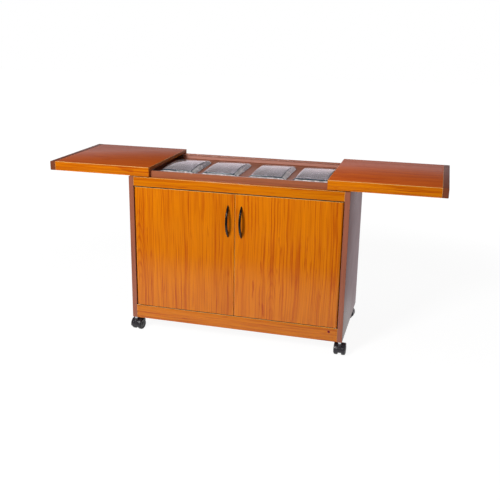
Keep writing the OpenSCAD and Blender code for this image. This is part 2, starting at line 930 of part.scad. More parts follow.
// A tray's board and aprons are folded from one veneered board, mitred at the edges
module along_tray() {
    translate([tray_open_x, 0, 0])
        rotate([90, 0, 90])
            linear_extrude(tray_board_l)
                children();
}
module tray_board() {
    color(teak_dark)
        along_tray()
            polygon([[front_y, tray_top], [front_y + tray_t, board_under],
                     [tray_back_y - tray_t, board_under], [tray_back_y, tray_top]]);
}
module tray_aprons() {
    color(teak)
        along_tray()
            for (end = [0, 1])
                translate([well_y, 0])
                    mirror([end, 0])
                        translate([-tray_d / 2, 0])
                            polygon([[0, tray_low], [tray_t, tray_low], [tray_t, board_under],
                                     [0, tray_top]]);
}

// Dark trim across the outer end of a tray, with rounded outer edges
module tray_end_trim() {
    color(umber)
        translate([tray_open_x + tray_board_l, tray_back_y, tray_low])
            rotate([90, 0, 0])
                linear_extrude(tray_d) {
                    square([trim_w - trim_r, tray_h]);
                    translate([0, trim_r])
                        square([trim_w, tray_h - 2 * trim_r]);
                    for (z = [trim_r, tray_h - trim_r])
                        translate([trim_w - trim_r, z])
                            circle(trim_r);
                }
}

// Steel angles under a tray's inner end, and the glides on them
module tray_brackets() {
    leg_low = deck_top + 6;
    foot_w = 18;
    color(steel)
        at_both_rails() {
            block([glide_x0, bracket_y, leg_low], [glide_x1, bracket_y + steel_t, board_under]);
            block([glide_x0, bracket_y, board_under - steel_t],
                  [glide_x1, bracket_y + foot_w, board_under]);
        }
}
module tray_glides() {
    glide_low = deck_top + 7;
    color(cream)
        at_both_rails()
            block([glide_x0 + 2, steel_t + slide_gap, glide_low],
                  [glide_x1, bracket_y, lip_under - slide_gap]);
}

// Glass dish that hangs by its rim in the deck: its walls draw in to a rounded foot
module dish_form(shrink, low, high) {
    corner = 16 - shrink;
    foot = 8;
    step = foot / 2;
    hull() {
        translate([0, 0, high])
            rounded_plate(dish_hx - shrink, dish_hy - shrink, corner, eps, $fn = 32);
        translate([0, 0, low + foot])
            rounded_plate(dish_hx - shrink - dish_draft, dish_hy - shrink - dish_draft, corner, eps,
                          $fn = 32);
        translate([0, 0, low])
            rounded_plate(dish_hx - shrink - dish_draft - step, dish_hy - shrink - dish_draft - step,
                          corner - step, eps, $fn = 32);
    }
}
module dish(n) {
    color(glass, 0.5)
        translate([dish_xs[n - 1], well_y, 0])
            difference() {
                union() {
                    translate([0, 0, rim_low])
                        rounded_plate(dish_rim_hx, dish_rim_hy, 14, rim_t);
                    dish_form(0, dish_low, rim_low + rim_t / 2);
                }
                dish_form(glass_t, dish_low + glass_t, rim_top + 1);
            }
}

// Glass lid: its sides slope, and its top is arched from end to end
module lid_form(shrink) {
    slope = lid_lean / lid_h;
    side_in = shrink * sqrt(1 + pow(slope, 2));
    rise = lid_h - shrink;
    arc_r = (pow(lid_hy, 2) + pow(lid_arch, 2)) / (2 * lid_arch);
    intersection() {
        rotate([90, 0, 0])
            linear_extrude(2 * (lid_hy - shrink), center = true)
                polygon([[side_in - dish_rim_hx, 0], [dish_rim_hx - side_in, 0],
                         [dish_rim_hx - side_in - slope * rise, rise],
                         [side_in - dish_rim_hx + slope * rise, rise]]);
        bar_x(0, 0, lid_h - arc_r, arc_r - shrink, 2 * dish_rim_hx + 2, $fn = 720);
    }
}
module lid(n) {
    color(glass, 0.5)
        translate([dish_xs[n - 1], well_y, lid_low])
            difference() {
                lid_form(0);
                translate([0, 0, -eps])
                    lid_form(lid_t);
            }
}

// Sleeves in the side panels, and the stems pressed into them
module caster_sockets() {
    color(cream)
        at_corners()
            difference() {
                union() {
                    translate([0, 0, caster_h])
                        cylinder(r = socket_r, h = stem_in + 1);
                    translate([0, 0, caster_h - socket_flange_t])
                        cylinder(r = socket_r + 2, h = socket_flange_t);
                }
                translate([0, 0, caster_h - socket_flange_t - 1])
                    cylinder(r = stem_r + running_fit, h = stem_in + 4);
            }
}
module caster_stems() {
    stem_low = hood_top - stem_in_boss;
    collar_low = hood_top + running_fit;
    color(steel)
        at_corners() {
            translate([0, 0, stem_low])
                cylinder(r = stem_r, h = caster_h + stem_in - stem_low);
            translate([0, 0, collar_low])
                cylinder(r = collar_r, h = caster_h - socket_flange_t - collar_low);
        }
}

// A caster is placed by the corner it stands in and its turn about the stem
module at_corner(s, y, turn) {
    translate([s * stem_x, y, 0])
        rotate([0, 0, turn])
            children();
}

// The wheels trail along +Y from the stem: here Z is the axle and X points backwards
module wheel_axis() {
    translate([0, caster_trail, wheel_r])
        rotate([90, 0, 90])
            children();
}

// Hood: a shell over both wheels that comes low on the stem's side, with a web between them.
// The stem's boss stands in a notch at the top of the shell.
module caster_hood() {
    hood_r = wheel_r + hood_gap + hood_t;
    side_gap = 0.8;
    web_hw = wheel_in - side_gap;
    brow = 4;
    edge = [for (a = [0:30:90])
                [hood_r - brow + brow * sin(a), wheel_out - brow + brow * cos(a)]];
    other_edge = [for (i = [len(edge) - 1:-1:0]) [edge[i][0], -edge[i][1]]];
    shell_back = 28;
    shell_sweep = 165;
    notch_low = 37;
    notch_hw = 16;
    web_low_r = 15;
    color(charcoal)
        difference() {
            union() {
                difference() {
                    wheel_axis()
                        rotate([0, 0, shell_back])
                            rotate_extrude(angle = shell_sweep, $fn = 96)
                                polygon(concat([[0, wheel_out]], edge, other_edge,
                                               [[0, -wheel_out]]));
                    translate([0, boss_r, 0])
                        rotate([90, 0, 0])
                            linear_extrude(2 * boss_r + hood_r)
                                polygon([[0, notch_low], [notch_hw, hood_top], [-notch_hw, hood_top]]);
                }
                wheel_axis()
                    cylinder(r = web_low_r, h = 2 * web_hw, center = true);
                translate([0, 0, wheel_r])
                    cylinder(r = boss_r, h = hood_top - wheel_r);
            }
            for (s = [-1, 1])
                wheel_axis()
                    translate([0, 0, s * (web_hw + wheel_w)])
                        cylinder(r = wheel_r + hood_gap, h = 2 * wheel_w, center = true);
            wheel_axis()
                cylinder(r = axle_r + running_fit, h = 2 * wheel_out, center = true);
            translate([0, 0, hood_top - stem_in_boss - 0.5])
                cylinder(r = stem_r + running_fit, h = stem_in_boss + 2);
        }
}

// Two wheels with dished faces, and the axle between them
module caster_wheels() {
    bore_r = axle_r + running_fit;
    tread = 5;
    dish = 1.6;
    wheel_axis() {
        color(black)
            for (side = [0, 1])
                mirror([0, 0, side])
                    rotate_extrude($fn = 96)
                        polygon([[bore_r, wheel_in], [wheel_r - 1.5, wheel_in],
                                 [wheel_r, wheel_in + 1.5], [wheel_r, wheel_out - tread],
                                 [wheel_r - 1.2, wheel_out - 2.4], [wheel_r - 3.4, wheel_out - 0.6],
                                 [wheel_r - 5.5, wheel_out], [wheel_r - 7, wheel_out - dish],
                                 [9, wheel_out - dish], [7, wheel_out], [0, wheel_out],
                                 [0, wheel_out - wheel_cap_t], [bore_r, wheel_out - wheel_cap_t]]);
        color(steel)
            cylinder(r = axle_r, h = 2 * (wheel_out - wheel_cap_t - 0.3), center = true);
    }
}

handed(left) side_panel();  // left_side_panel
handed(right) side_panel();  // right_side_panel
side_edge_strips();
base_board();
plinth_rail();
top_rail();
top_board();
back_panel();
back_panel_screws();
cupboard_shelf();
shelf_pins();
corner_blocks();
top_frame();
slide_rails();
deck_plate();
hot_well();
heating_element();
element_clips();
heat_shield();
thermostat();
terminal_block();
cord_gland();
internal_leads();
indicator_lamp();
door_catch();
door_bushes();
caster_stems();
caster_sockets();
handed(left) door();  // left_door
handed(right) door();  // right_door
handed(left) handle();  // left_handle
handed(right) handle();  // right_handle
handed(left) door_fittings();  // left_door_fittings
handed(right) door_fittings();  // right_door_fittings
handed(left) tray_board();  // left_tray_board
handed(right) tray_board();  // right_tray_board
handed(left) tray_aprons();  // left_tray_aprons
handed(right) tray_aprons();  // right_tray_aprons
handed(left) tray_end_trim();  // left_tray_end_trim
handed(right) tray_end_trim();  // right_tray_end_trim
handed(left) tray_brackets();  // left_tray_brackets
handed(right) tray_brackets();  // right_tray_brackets
handed(left) tray_glides();  // left_tray_glides
handed(right) tray_glides();  // right_tray_glides
dish(1);  // dish_1
dish(2);  // dish_2
dish(3);  // dish_3
dish(4);  // dish_4
lid(1);  // lid_1
lid(2);  // lid_2
lid(3);  // lid_3
lid(4);  // lid_4
at_corner(left, stem_front_y, front_left_turn) caster_hood();  // front_left_caster_hood
at_corner(right, stem_front_y, front_right_turn) caster_hood();  // front_right_caster_hood
at_corner(left, stem_back_y, rear_left_turn) caster_hood();  // rear_left_caster_hood
at_corner(right, stem_back_y, rear_right_turn) caster_hood();  // rear_right_caster_hood
at_corner(left, stem_front_y, front_left_turn) caster_wheels();  // front_left_caster_wheels
at_corner(right, stem_front_y, front_right_turn) caster_wheels();  // front_right_caster_wheels
at_corner(left, stem_back_y, rear_left_turn) caster_wheels();  // rear_left_caster_wheels
at_corner(right, stem_back_y, rear_right_turn) caster_wheels();  // rear_right_caster_wheels
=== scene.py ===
"""Looks of the food warmer trolley: veneered boards, glass dishes, casters, and the studio around them."""

import math

import bmesh
import bpy
from mathutils import Matrix, Vector


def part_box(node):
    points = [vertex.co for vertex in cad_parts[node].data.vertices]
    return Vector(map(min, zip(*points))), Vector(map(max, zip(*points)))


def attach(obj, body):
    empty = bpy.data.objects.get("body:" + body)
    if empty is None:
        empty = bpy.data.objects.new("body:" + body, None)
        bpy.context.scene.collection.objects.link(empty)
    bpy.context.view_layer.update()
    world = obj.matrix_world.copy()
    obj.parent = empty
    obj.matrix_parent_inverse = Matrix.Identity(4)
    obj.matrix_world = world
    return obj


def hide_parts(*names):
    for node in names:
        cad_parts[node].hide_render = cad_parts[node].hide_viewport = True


bl_info = {
    "name": "Food warmer trolley",
    "version": (1, 0, 0),
    "blender": (4, 5, 0),
    "location": "View3D > Sidebar > Trolley",
    "description": "Dresses the food warmer trolley and sets up its studio",
    "category": "Object",
}

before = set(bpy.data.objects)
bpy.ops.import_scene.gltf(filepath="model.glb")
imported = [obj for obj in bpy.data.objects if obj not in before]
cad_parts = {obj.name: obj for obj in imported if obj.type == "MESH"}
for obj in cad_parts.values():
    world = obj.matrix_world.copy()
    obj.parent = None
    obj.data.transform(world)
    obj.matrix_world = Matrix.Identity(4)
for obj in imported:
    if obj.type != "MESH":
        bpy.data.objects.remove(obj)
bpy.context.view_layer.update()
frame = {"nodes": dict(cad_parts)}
MM = 0.001
SIDES = {"left": -1, "right": 1}
CORNERS = ("front_left", "front_right", "rear_left", "rear_right")
X, Y, Z = range(3)
ALONG_X = (0, math.radians(-90), 0)
FACES_UP = 0.98
WELD = 2e-6
WHITE = (1, 1, 1, 1)


def colour(name, default, text):
    return bpy.props.FloatVectorProperty(
        name=name, description=text, default=default, size=3, min=0, max=1, subtype="COLOR"
    )


def length(name, default, text):
    return bpy.props.FloatProperty(
        name=name, description=text, default=default, min=0, unit="LENGTH", subtype="DISTANCE", precision=4
    )


def number(name, default, text, low=0.0, unit="NONE"):
    return bpy.props.FloatProperty(name=name, description=text, default=default, min=low, unit=unit)


def vector(name, default, text, subtype="XYZ"):
    return bpy.props.FloatVectorProperty(name=name, description=text, default=default, subtype=subtype)


class TrolleyColours(bpy.types.PropertyGroup):
    """Colours of the finishes"""

    veneer_light: colour("Veneer", (0.790, 0.228, 0.002), "Light tone of the upright veneer")
    veneer_dark: colour("Veneer streaks", (0.460, 0.062, 0.001), "Dark tone of the veneer's streaks")
    top_light: colour("Worktop", (0.620, 0.120, 0.014), "Light tone of the tray tops")
    top_dark: colour("Worktop streaks", (0.400, 0.055, 0.010), "Dark tone of the tray tops")
    top_shine: number("Worktop shine", 0.0018, "Specular level of the tray tops")
    edging: colour("Edging", (0.388, 0.129, 0.076), "Brown strips on the front edges of the sides")
    frame: colour("Frame", (0.400, 0.130, 0.062), "Brown frame round the dishes")
    trim: colour("End trim", (0.205, 0.059, 0.028), "Dark trim at the ends of the trays")
    side: colour("Side laminate", (0.126, 0.032, 0.020), "Laminate of the side panels")
    inner: colour("Inner boards", (0.250, 0.110, 0.055), "Boards inside the cupboard")
    # Painted highlight: this pale tone goes on the rounded edges that do not look down, where they catch the
    # light.
    edge_highlight_tone: colour("Lacquered edge", (0.930, 0.590, 0.190), "Pale line along the veneered edges")
    end_band: colour("End band", (0.420, 0.105, 0.008), "Edging of the trays' inner ends")
    # Painted shade: this dark brown goes on the faces and edges in the gaps above and below the doors, where
    # the top rail and the plinth cast shade.
    raw_edge: colour("Raw edge", (0.050, 0.030, 0.016), "Dark upper and lower edges by the doors")
    deck: colour("Deck enamel", (0.350, 0.120, 0.064), "Brown enamel of the deck")
    # Partly the enamel's own brown, partly painted sheen: much lighter than the frame and deck enamel, to
    # stand for the gloss of the rails in the shaded well.
    rails: colour("Rail enamel", (0.600, 0.290, 0.220), "Light brown enamel of the slide rails")
    glass: colour("Glass", (0.900, 0.880, 0.920), "Tint of the dishes and lids")
    # Partly the glass's own teal tint seen through its thickness, partly painted shade: an opaque dark paint
    # on the lids' thick upper ends and right shoulder.
    glass_edge: colour("Glass edge", (0.017, 0.046, 0.073), "Dark look of the lids' thick edges")
    # Painted highlight: this pale, partly clear glass goes on the lower part of the lids' upright ends and
    # the front half of their right slopes.
    glass_end: colour("Glass ends", (0.940, 0.920, 0.920), "Bright look of the lids' upright ends")
    black: colour("Handles", (0.003, 0.003, 0.004), "Gloss black of the handles")
    hood: colour("Caster hoods", (0.021, 0.018, 0.024), "Charcoal plastic of the hoods")
    tyre: colour("Caster wheels", (0.008, 0.008, 0.009), "Black plastic of the wheels")
    zinc: colour("Plated steel", (0.560, 0.560, 0.580), "Zinc plated fittings")
    aluminium: colour("Aluminium", (0.640, 0.640, 0.660), "Sheet of the hot well")
    sheath: colour("Element sheath", (0.230, 0.200, 0.180), "Heated tube under the well")
    lamp: colour("Indicator lamp", (0.210, 0.003, 0.012), "Red lens of the lamp")
    nylon: colour("Nylon", (0.690, 0.640, 0.520), "Bushes, blocks and glides")


class TrolleySizes(bpy.types.PropertyGroup):
    """Sizes of the details"""

    board_edge: length("Board edge", 0.9 * MM, "Round of the boards' edges")
    tray_edge: length("Tray edge", 1.2 * MM, "Round of the trays' outer edges")
    grain_scale: number("Grain", 1.0, "Scale of the veneer's figure")
    grain_depth: length("Grain depth", 0.012 * MM, "Depth of the pores in the veneer")
    glass_round: length("Glass round", 2.2 * MM, "Round of the lids' edges")
    # Painted shade: height of the dark band painted along the top rail's lower edge, where the gap above the
    # doors is shaded.
    seam: length("Seam", 1.7 * MM, "Height of the dark lower edge of the top rail")
    screw_head: length("Screw heads", 3.4 * MM, "Radius of the back panel's screw heads")


class TrolleyStudio(bpy.types.PropertyGroup):
    """Camera and light"""

    camera_place: vector("Camera", (0.7953, -3.0425, 1.3728), "Place of the camera", "TRANSLATION")
    camera_right: vector("Camera right", (0.96139, 0.27498, 0.01048), "Direction to the picture's right")
    camera_up: vector("Camera up", (-0.08978, 0.27744, 0.95654), "Direction to the picture's top")
    lens: number("Lens", 52.33, "Focal length on a 36 mm wide picture", 1.0)
    shift_x: number("Shift across", 0.0317, "Shift of the lens across", -1.0)
    shift_y: number("Shift up", -0.0223, "Shift of the lens upwards", -1.0)
    key_place: vector("Key lamp", (-1.15, -3.2, 2.35), "Place of the key lamp", "TRANSLATION")
    key_size: length("Key lamp size", 0.8, "Side of the key lamp")
    key: number("Key light", 102.0, "Power of the key lamp at the front left", unit="POWER")
    fill: number("Fill light", 5.0, "Power of the lamp at the front right", unit="POWER")
    top: number("Top light", 9.0, "Power of the lamp above", unit="POWER")
    sky: number("Sky light", 0.12, "Strength of the light from all round")
    cast: colour("Cast", (1.0, 0.86, 0.92), "Colour of the mirrored surroundings")
    front_dark: number("Dark front", 0.06, "Brightness of what is mirrored in front")
    high_dark: number("Dark above", 0.35, "Brightness of what is mirrored above")


# Nodes


class Wiring:
    """Short ways to add and join the nodes of one tree."""

    def __init__(self, tree):
        self.tree = tree

    def put(self, socket, value):
        if isinstance(value, bpy.types.NodeSocket):
            self.tree.links.new(value, socket)
        else:
            socket.default_value = value

    def fill(self, node, inputs):
        for key, value in inputs.items():
            self.put(node.inputs[key], value)
        return node

    def add(self, kind, inputs=None, **settings):
        """Adds a node with these settings, and with these values or links in its inputs."""
        node = self.tree.nodes.new(kind)
        for key, value in settings.items():
            setattr(node, key, value)
        return self.fill(node, inputs or {})

    def out(self, kind, inputs=None, output=0, **settings):
        return self.add(kind, inputs, **settings).outputs[output]

    def math(self, operation, first, second=0.0, clamp=False):
        return self.out("ShaderNodeMath", {0: first, 1: second}, operation=operation, use_clamp=clamp)

    def times(self, first, second):
        return self.math("MULTIPLY", first, second)

    def minus(self, first, second):
        return self.math("SUBTRACT", first, second)

    def plus(self, total, *terms, clamp=False):
        """Sum of all terms, kept from 0 to 1 if clamp is true."""
        for left, term in zip(reversed(range(len(terms))), terms):
            total = self.math("ADD", total, term, clamp and left == 0)
        return total

    def vector(self, operation, first, second):
        return self.out("ShaderNodeVectorMath", {0: first, 1: second}, operation=operation)

    def scale(self, vector, *factors):
        return self.vector("MULTIPLY", vector, factors)

    def split(self, vector):
        return self.add("ShaderNodeSeparateXYZ", {0: vector}).outputs

    def join(self, x=0.0, y=0.0, z=0.0):
        return self.out("ShaderNodeCombineXYZ", {0: x, 1: y, 2: z})

    def noise(self, vector, scale, detail=2.0, rough=0.5, output="Fac"):
        inputs = {"Vector": vector, "Scale": scale, "Detail": detail, "Roughness": rough}
        return self.out("ShaderNodeTexNoise", inputs, output)

    def ramp(self, value, low, high, out_low=0.0, out_high=1.0):
        """Smooth step from out_low to out_high while the value goes from low to high."""
        inputs = {"Value": value, "From Min": low, "From Max": high, "To Min": out_low, "To Max": out_high}
        return self.out("ShaderNodeMapRange", inputs, interpolation_type="SMOOTHSTEP")

    def mix(self, factor, first, second, blend="MIX"):
        inputs = {0: factor, 6: first, 7: second}
        return self.out("ShaderNodeMix", inputs, 2, data_type="RGBA", blend_type=blend)


def new_tree(kind, name, inputs, outputs):
    """Node group with named sockets of each kind: its wiring, what enters it and what leaves it."""
    tree = bpy.data.node_groups.new(name, kind)
    for in_out, kinds in (("INPUT", inputs), ("OUTPUT", outputs)):
        for socket_kind, titles in kinds.items():
            for title in titles:
                tree.interface.new_socket(title, in_out=in_out, socket_type="NodeSocket" + socket_kind)
    return Wiring(tree), tree.nodes.new("NodeGroupInput").outputs, tree.nodes.new("NodeGroupOutput").inputs


def emptied(owner):
    """Wiring of the emptied tree of a material or world."""
    owner.use_nodes = True
    owner.node_tree.nodes.clear()
    return Wiring(owner.node_tree)


# Materials

SURFACE = {"Color": ("Colour",), "Float": ("Roughness", "Height")}


def veneer_group():
    """Printed veneer, its grain along Z: streaks, fine lines, pores, eyes, and a nest of pointed arches."""
    inputs = {
        "Vector": ("Vector", "Seed", "Arch place"),
        "Color": ("Light", "Dark"),
        "Float": ("Scale", "Streaks", "Arches", "Lines"),
    }
    w, start, end = new_tree("ShaderNodeTree", "Veneer", inputs, SURFACE)
    scaled = w.out("ShaderNodeVectorMath", {0: start["Vector"], "Scale": start["Scale"]}, operation="SCALE")
    seeded = w.vector("ADD", scaled, start["Seed"])
    warp = w.noise(w.scale(seeded, 1, 1, 0.8), 3.6, output="Color")
    wander = w.scale(w.vector("SUBTRACT", warp, (0.5, 0.5, 0.5)), 0.026, 0.0, 0.0)
    place = w.scale(w.vector("ADD", seeded, wander), 1, 1, 0.0085)
    bands = w.ramp(w.noise(place, 48.0, 1.0, 0.5), 0.32, 0.68)
    streak = w.ramp(w.noise(place, 150.0, 2.0, 0.55), 0.46, 0.72)
    thin = w.ramp(w.noise(w.scale(place, 1, 1, 2.0), 290.0, 1.0, 0.5), 0.52, 0.66)
    fine = w.ramp(w.noise(w.scale(place, 1, 1, 1.8), 420.0, 2.0, 0.6), 0.40, 0.72)
    pores = w.ramp(w.noise(w.scale(seeded, 1, 1, 0.06), 1100.0, 1.0, 0.5), 0.56, 0.72)
    eyes = w.ramp(w.noise(w.scale(seeded, 1, 1, 0.16), 62.0, 1.0, 0.5), 0.70, 0.78)
    spot = w.split(w.vector("SUBTRACT", w.vector("ADD", scaled, wander), start["Arch place"]))
    across = w.times(spot["X"], spot["X"])
    ring = w.plus(w.times(spot["Z"], 17.0), w.times(across, 3000.0))
    ring = w.ramp(w.math("PINGPONG", ring, 0.5), 0.24, 0.50)
    near = w.ramp(across, 0.0003, 0.0024, 1.0, 0.0)
    near = w.times(near, w.ramp(w.math("ABSOLUTE", spot["Z"]), 0.06, 0.24, 1.0, 0.0))
    dark = w.plus(
        w.times(streak, start["Streaks"]),
        w.times(thin, start["Streaks"]),
        w.times(w.times(ring, near), start["Arches"]),
        w.times(fine, start["Lines"]),
        w.times(bands, 0.16),
        w.times(eyes, 0.35),
        w.times(pores, 0.05),
        clamp=True,
    )
    w.put(end["Colour"], w.mix(dark, start["Light"], start["Dark"]))
    w.put(end["Roughness"], w.ramp(dark, 0.0, 1.0, 0.11, 0.17))
    w.put(end["Height"], w.minus(1.0, w.plus(pores, w.times(fine, 0.4))))


def surface_group():
    """Small changes that a plain surface has: tone, polish and a fine texture."""
    inputs = {
        "Vector": ("Vector",),
        "Color": ("Colour",),
        "Float": ("Roughness", "Patch scale", "Tone change", "Texture scale"),
    }
    w, start, end = new_tree("ShaderNodeTree", "Plain surface", inputs, SURFACE)
    grain = w.noise(start["Vector"], start["Texture scale"], 2.0, 0.6)
    patch = w.minus(w.noise(start["Vector"], start["Patch scale"], 3.0, 0.55), 0.5)
    speck = w.minus(grain, 0.5)
    change = w.times(patch, start["Tone change"])
    tone = w.plus(1.0, w.plus(change, w.times(speck, w.times(start["Tone change"], 0.5))))
    factor = w.out("ShaderNodeCombineColor", {0: tone, 1: tone, 2: tone})
    w.put(end["Colour"], w.mix(1.0, start["Colour"], factor, "MULTIPLY"))
    rough = w.plus(start["Roughness"], w.times(patch, 0.16), w.times(speck, 0.06), clamp=True)
    w.put(end["Roughness"], rough)
    w.put(end["Height"], grain)


def tinted(tone, factor):
    return [min(1, factor * part) for part in tone]


def finish(name):
    """The finish of this name. The frame has materials of its own, so these have a prefix."""
    return bpy.data.materials["look_" + name]


def new_material(name, inputs):
    """Finish whose shader has these plain values: its wiring and its shader."""
    w = emptied(bpy.data.materials.new("look_" + name))
    shader = w.add("ShaderNodeBsdfPrincipled", inputs)
    w.add("ShaderNodeOutputMaterial", {"Surface": shader.outputs[0]})
    return w, shader


def place_socket(w, turn=(0, 0, 0)):
    """Object coordinates, turned so that Z runs along the grain."""
    where = w.out("ShaderNodeTexCoord", output="Object")
    return w.out("ShaderNodeMapping", {"Vector": where, "Rotation": turn})


def bumped(w, height, depth):
    return w.out("ShaderNodeBump", {"Strength": 1.0, "Distance": depth, "Height": height})


def from_group(name, group_name, turn, values, depth, inputs):
    """Finish with the colour, roughness and height of a node group."""
    w, shader = new_material(name, inputs)
    group = w.add("ShaderNodeGroup", node_tree=bpy.data.node_groups[group_name])
    made = w.fill(group, {"Vector": place_socket(w, turn), **values}).outputs
    normal = bumped(w, made["Height"], depth)
    w.fill(shader, {"Base Color": made["Colour"], "Roughness": made["Roughness"], "Normal": normal})


def veneer(
    name, tones, seed, turn=(0, 0, 0), arch=(0, 0, 0), streaks=0.5, arches=0.0, lines=0.25, shine=0.35
):
    """Satin lacquered veneer, light and dark. The place of its arches is across and along the grain."""
    sizes = bpy.context.scene.trolley_sizes
    light, dark = tones
    values = {
        "Seed": (seed, 2.3 * seed, 0.7 * seed),
        "Arch place": arch,
        "Light": (*light, 1),
        "Dark": (*dark, 1),
        "Scale": sizes.grain_scale,
        "Streaks": streaks,
        "Arches": arches,
        "Lines": lines,
    }
    from_group(name, "Veneer", turn, values, sizes.grain_depth, {"Specular IOR Level": shine})


def plain(
    name, tone, roughness, patch=18.0, change=0.12, texture=900.0, depth=0.02, shine=0.5, metal=0.0, coat=0.0
):
    """A plain finish with small changes over the surface. The depth of its texture is in millimetres."""
    values = {
        "Colour": (*tone, 1),
        "Roughness": roughness,
        "Patch scale": patch,
        "Tone change": change,
        "Texture scale": texture,
    }
    inputs = {"Metallic": metal, "Specular IOR Level": shine, "Coat Weight": coat, "Coat Roughness": 0.08}
    from_group(name, "Plain surface", (0, 0, 0), values, depth * MM, inputs)


def brushed(name, tone, roughness, turn=(0, 0, 0)):
    """Rolled sheet metal with fine lines along one direction."""
    w, shader = new_material(name, {"Metallic": 1.0})
    place = place_socket(w, turn)
    lines = w.noise(w.scale(place, 1, 1, 0.02), 1400.0, 2.0, 0.6)
    mask = w.plus(w.times(lines, 0.5), w.times(w.noise(place, 14.0, 3.0, 0.5), 0.5))
    inputs = {
        "Base Color": w.mix(mask, (*tinted(tone, 0.82), 1), (*tinted(tone, 1.14), 1)),
        "Roughness": w.ramp(mask, 0.2, 0.8, roughness - 0.08, roughness + 0.12),
        "Normal": bumped(w, lines, 0.015 * MM),
    }
    w.fill(shader, inputs)


def clear_glass(name, tint, clear=1.0):
    """Pressed glass: slightly uneven, with a faint grey tint. Lamps and soft light pass through it."""
    w, shader = new_material(name, {"Transmission Weight": clear, "IOR": 1.5})
    rays = w.add("ShaderNodeLightPath").outputs
    passed = w.math("MAXIMUM", rays["Is Shadow Ray"], rays["Is Diffuse Ray"])
    place = place_socket(w)
    waves = w.noise(place, 26.0, 2.0, 0.5)
    inputs = {
        "Alpha": w.minus(1.0, w.times(passed, 0.9)),
        "Base Color": w.mix(waves, (*tint, 1), (*tinted(tint, 1.06), 1)),
        "Roughness": w.ramp(w.noise(place, 60.0, 3.0, 0.6), 0.3, 0.8, 0.01, 0.05),
        "Normal": bumped(w, waves, 0.03 * MM),
    }
    w.fill(shader, inputs)


def end_highlight_glass(name, tint):
    """Pale, partly clear glass for a painted highlight on the lids, which scatters the light that falls on
    it.
    """
    w, shader = new_material(name, {"Transmission Weight": 0.2})
    cloud = w.noise(w.scale(place_socket(w), 1, 0.3, 0.6), 55.0, 1.0, 0.5)
    colours = w.mix(w.ramp(cloud, 0.4, 0.6), (*tinted(tint, 0.6), 1), (*tint, 1))
    w.fill(shader, {"Base Color": colours, "Roughness": w.ramp(cloud, 0.3, 0.7, 0.1, 0.3)})


def make_materials():
    """Every finish of the trolley, by name."""
    tones = bpy.context.scene.trolley_colours
    veneer_group()
    surface_group()
    upright = (tones.veneer_light, tones.veneer_dark)
    left_top = (tones.top_light, tones.top_dark)
    # Painted light: the right tray's top is a lighter copy of the left tray's veneer, as if it were better
    # lit.
    right_top_lit_copy = [tinted(tone, 1.32) for tone in left_top]
    rail = [tinted(tone, 0.92) for tone in upright]
    veneer("door_left_veneer", upright, 1.3, arch=(-0.432, 0, 0.42), streaks=0.42, arches=0.35)
    veneer("door_right_veneer", upright, 4.07, arch=(0.165, 0, 0.27), streaks=0.42, arches=0.15)
    veneer("rail_veneer", rail, 0.4, ALONG_X, streaks=0.42)
    veneer("tray_left_front", upright, 5.1, ALONG_X, streaks=0.45)
    veneer("tray_right_front", upright, 2.9, ALONG_X, arch=(0.741, 0, -0.58), streaks=0.5, arches=0.6)
    veneer("tray_left_top", left_top, 0.3, ALONG_X, streaks=0.35, lines=0.2, shine=tones.top_shine)
    veneer("tray_right_top", right_top_lit_copy, 1.7, ALONG_X, streaks=0.45, lines=0.2, shine=tones.top_shine)
    veneer("inner_board", (tones.inner, tinted(tones.inner, 0.6)), 3.0, ALONG_X)
    veneer("brown_edging", (tones.edging, tinted(tones.edging, 0.78)), 6.0, shine=0.3)
    veneer("brown_frame", (tones.frame, tinted(tones.frame, 0.76)), 7.0, ALONG_X, shine=0.3)
    # Painted highlight on the rounded edges.
    plain("lacquered_edge", tones.edge_highlight_tone, 0.35, 30.0, 0.2, shine=0.2)
    plain("end_band", tones.end_band, 0.4, 40.0, 0.3, 300.0, shine=0.1)
    # Painted shade for the gaps above and below the doors.
    plain("raw_edge", tones.raw_edge, 0.7, 60.0, 0.4, 800.0)
    plain("dark_trim", tones.trim, 0.40, 25.0, 0.2, 500.0, shine=0.04)
    plain("side_laminate", tones.side, 0.30, 7.0, 0.08, 1200.0, 0.01, 0.26)
    plain("brown_enamel", tones.deck, 0.32, 20.0, 0.16, 260.0, 0.04, 0.05)
    # Rail enamel with painted sheen.
    plain("rail_enamel", tones.rails, 0.30, 30.0, 0.16, 400.0, shine=0.3)
    plain("glass_edge", tones.glass_edge, 0.10, 60.0, 0.5, 400.0, coat=0.3)
    plain("handle_black", tones.black, 0.22, 60.0, 0.2, 700.0, 0.01, 0.4)
    plain("hood_plastic", tones.hood, 0.36, 90.0, 0.25, 1500.0, 0.03)
    plain("wheel_plastic", tones.tyre, 0.42, 90.0, 0.3, 1100.0, 0.04)
    plain("element_sheath", tones.sheath, 0.4, 22.0, 0.5, metal=1.0)
    plain("lamp_red", tones.lamp, 0.2, 200.0, 0.2, depth=0.005, shine=0.3)
    plain("nylon", tones.nylon, 0.45, 50.0, 0.12, 700.0)
    plain("black_moulding", tinted(tones.hood, 1.6), 0.5, 80.0, 0.25)
    clear_glass("clear_glass", tones.glass)
    clear_glass("lid_glass", tinted(tones.glass, 0.62), 0.8)
    # Painted highlight on the lids' ends.
    end_highlight_glass("glass_end", tones.glass_end)
    brushed("zinc_plate", tones.zinc, 0.3)
    brushed("well_sheet", tones.aluminium, 0.26, ALONG_X)


# Meshes


def new_object(name, data):
    made = bpy.data.objects.new(name, data)
    bpy.context.scene.collection.objects.link(made)
    return made


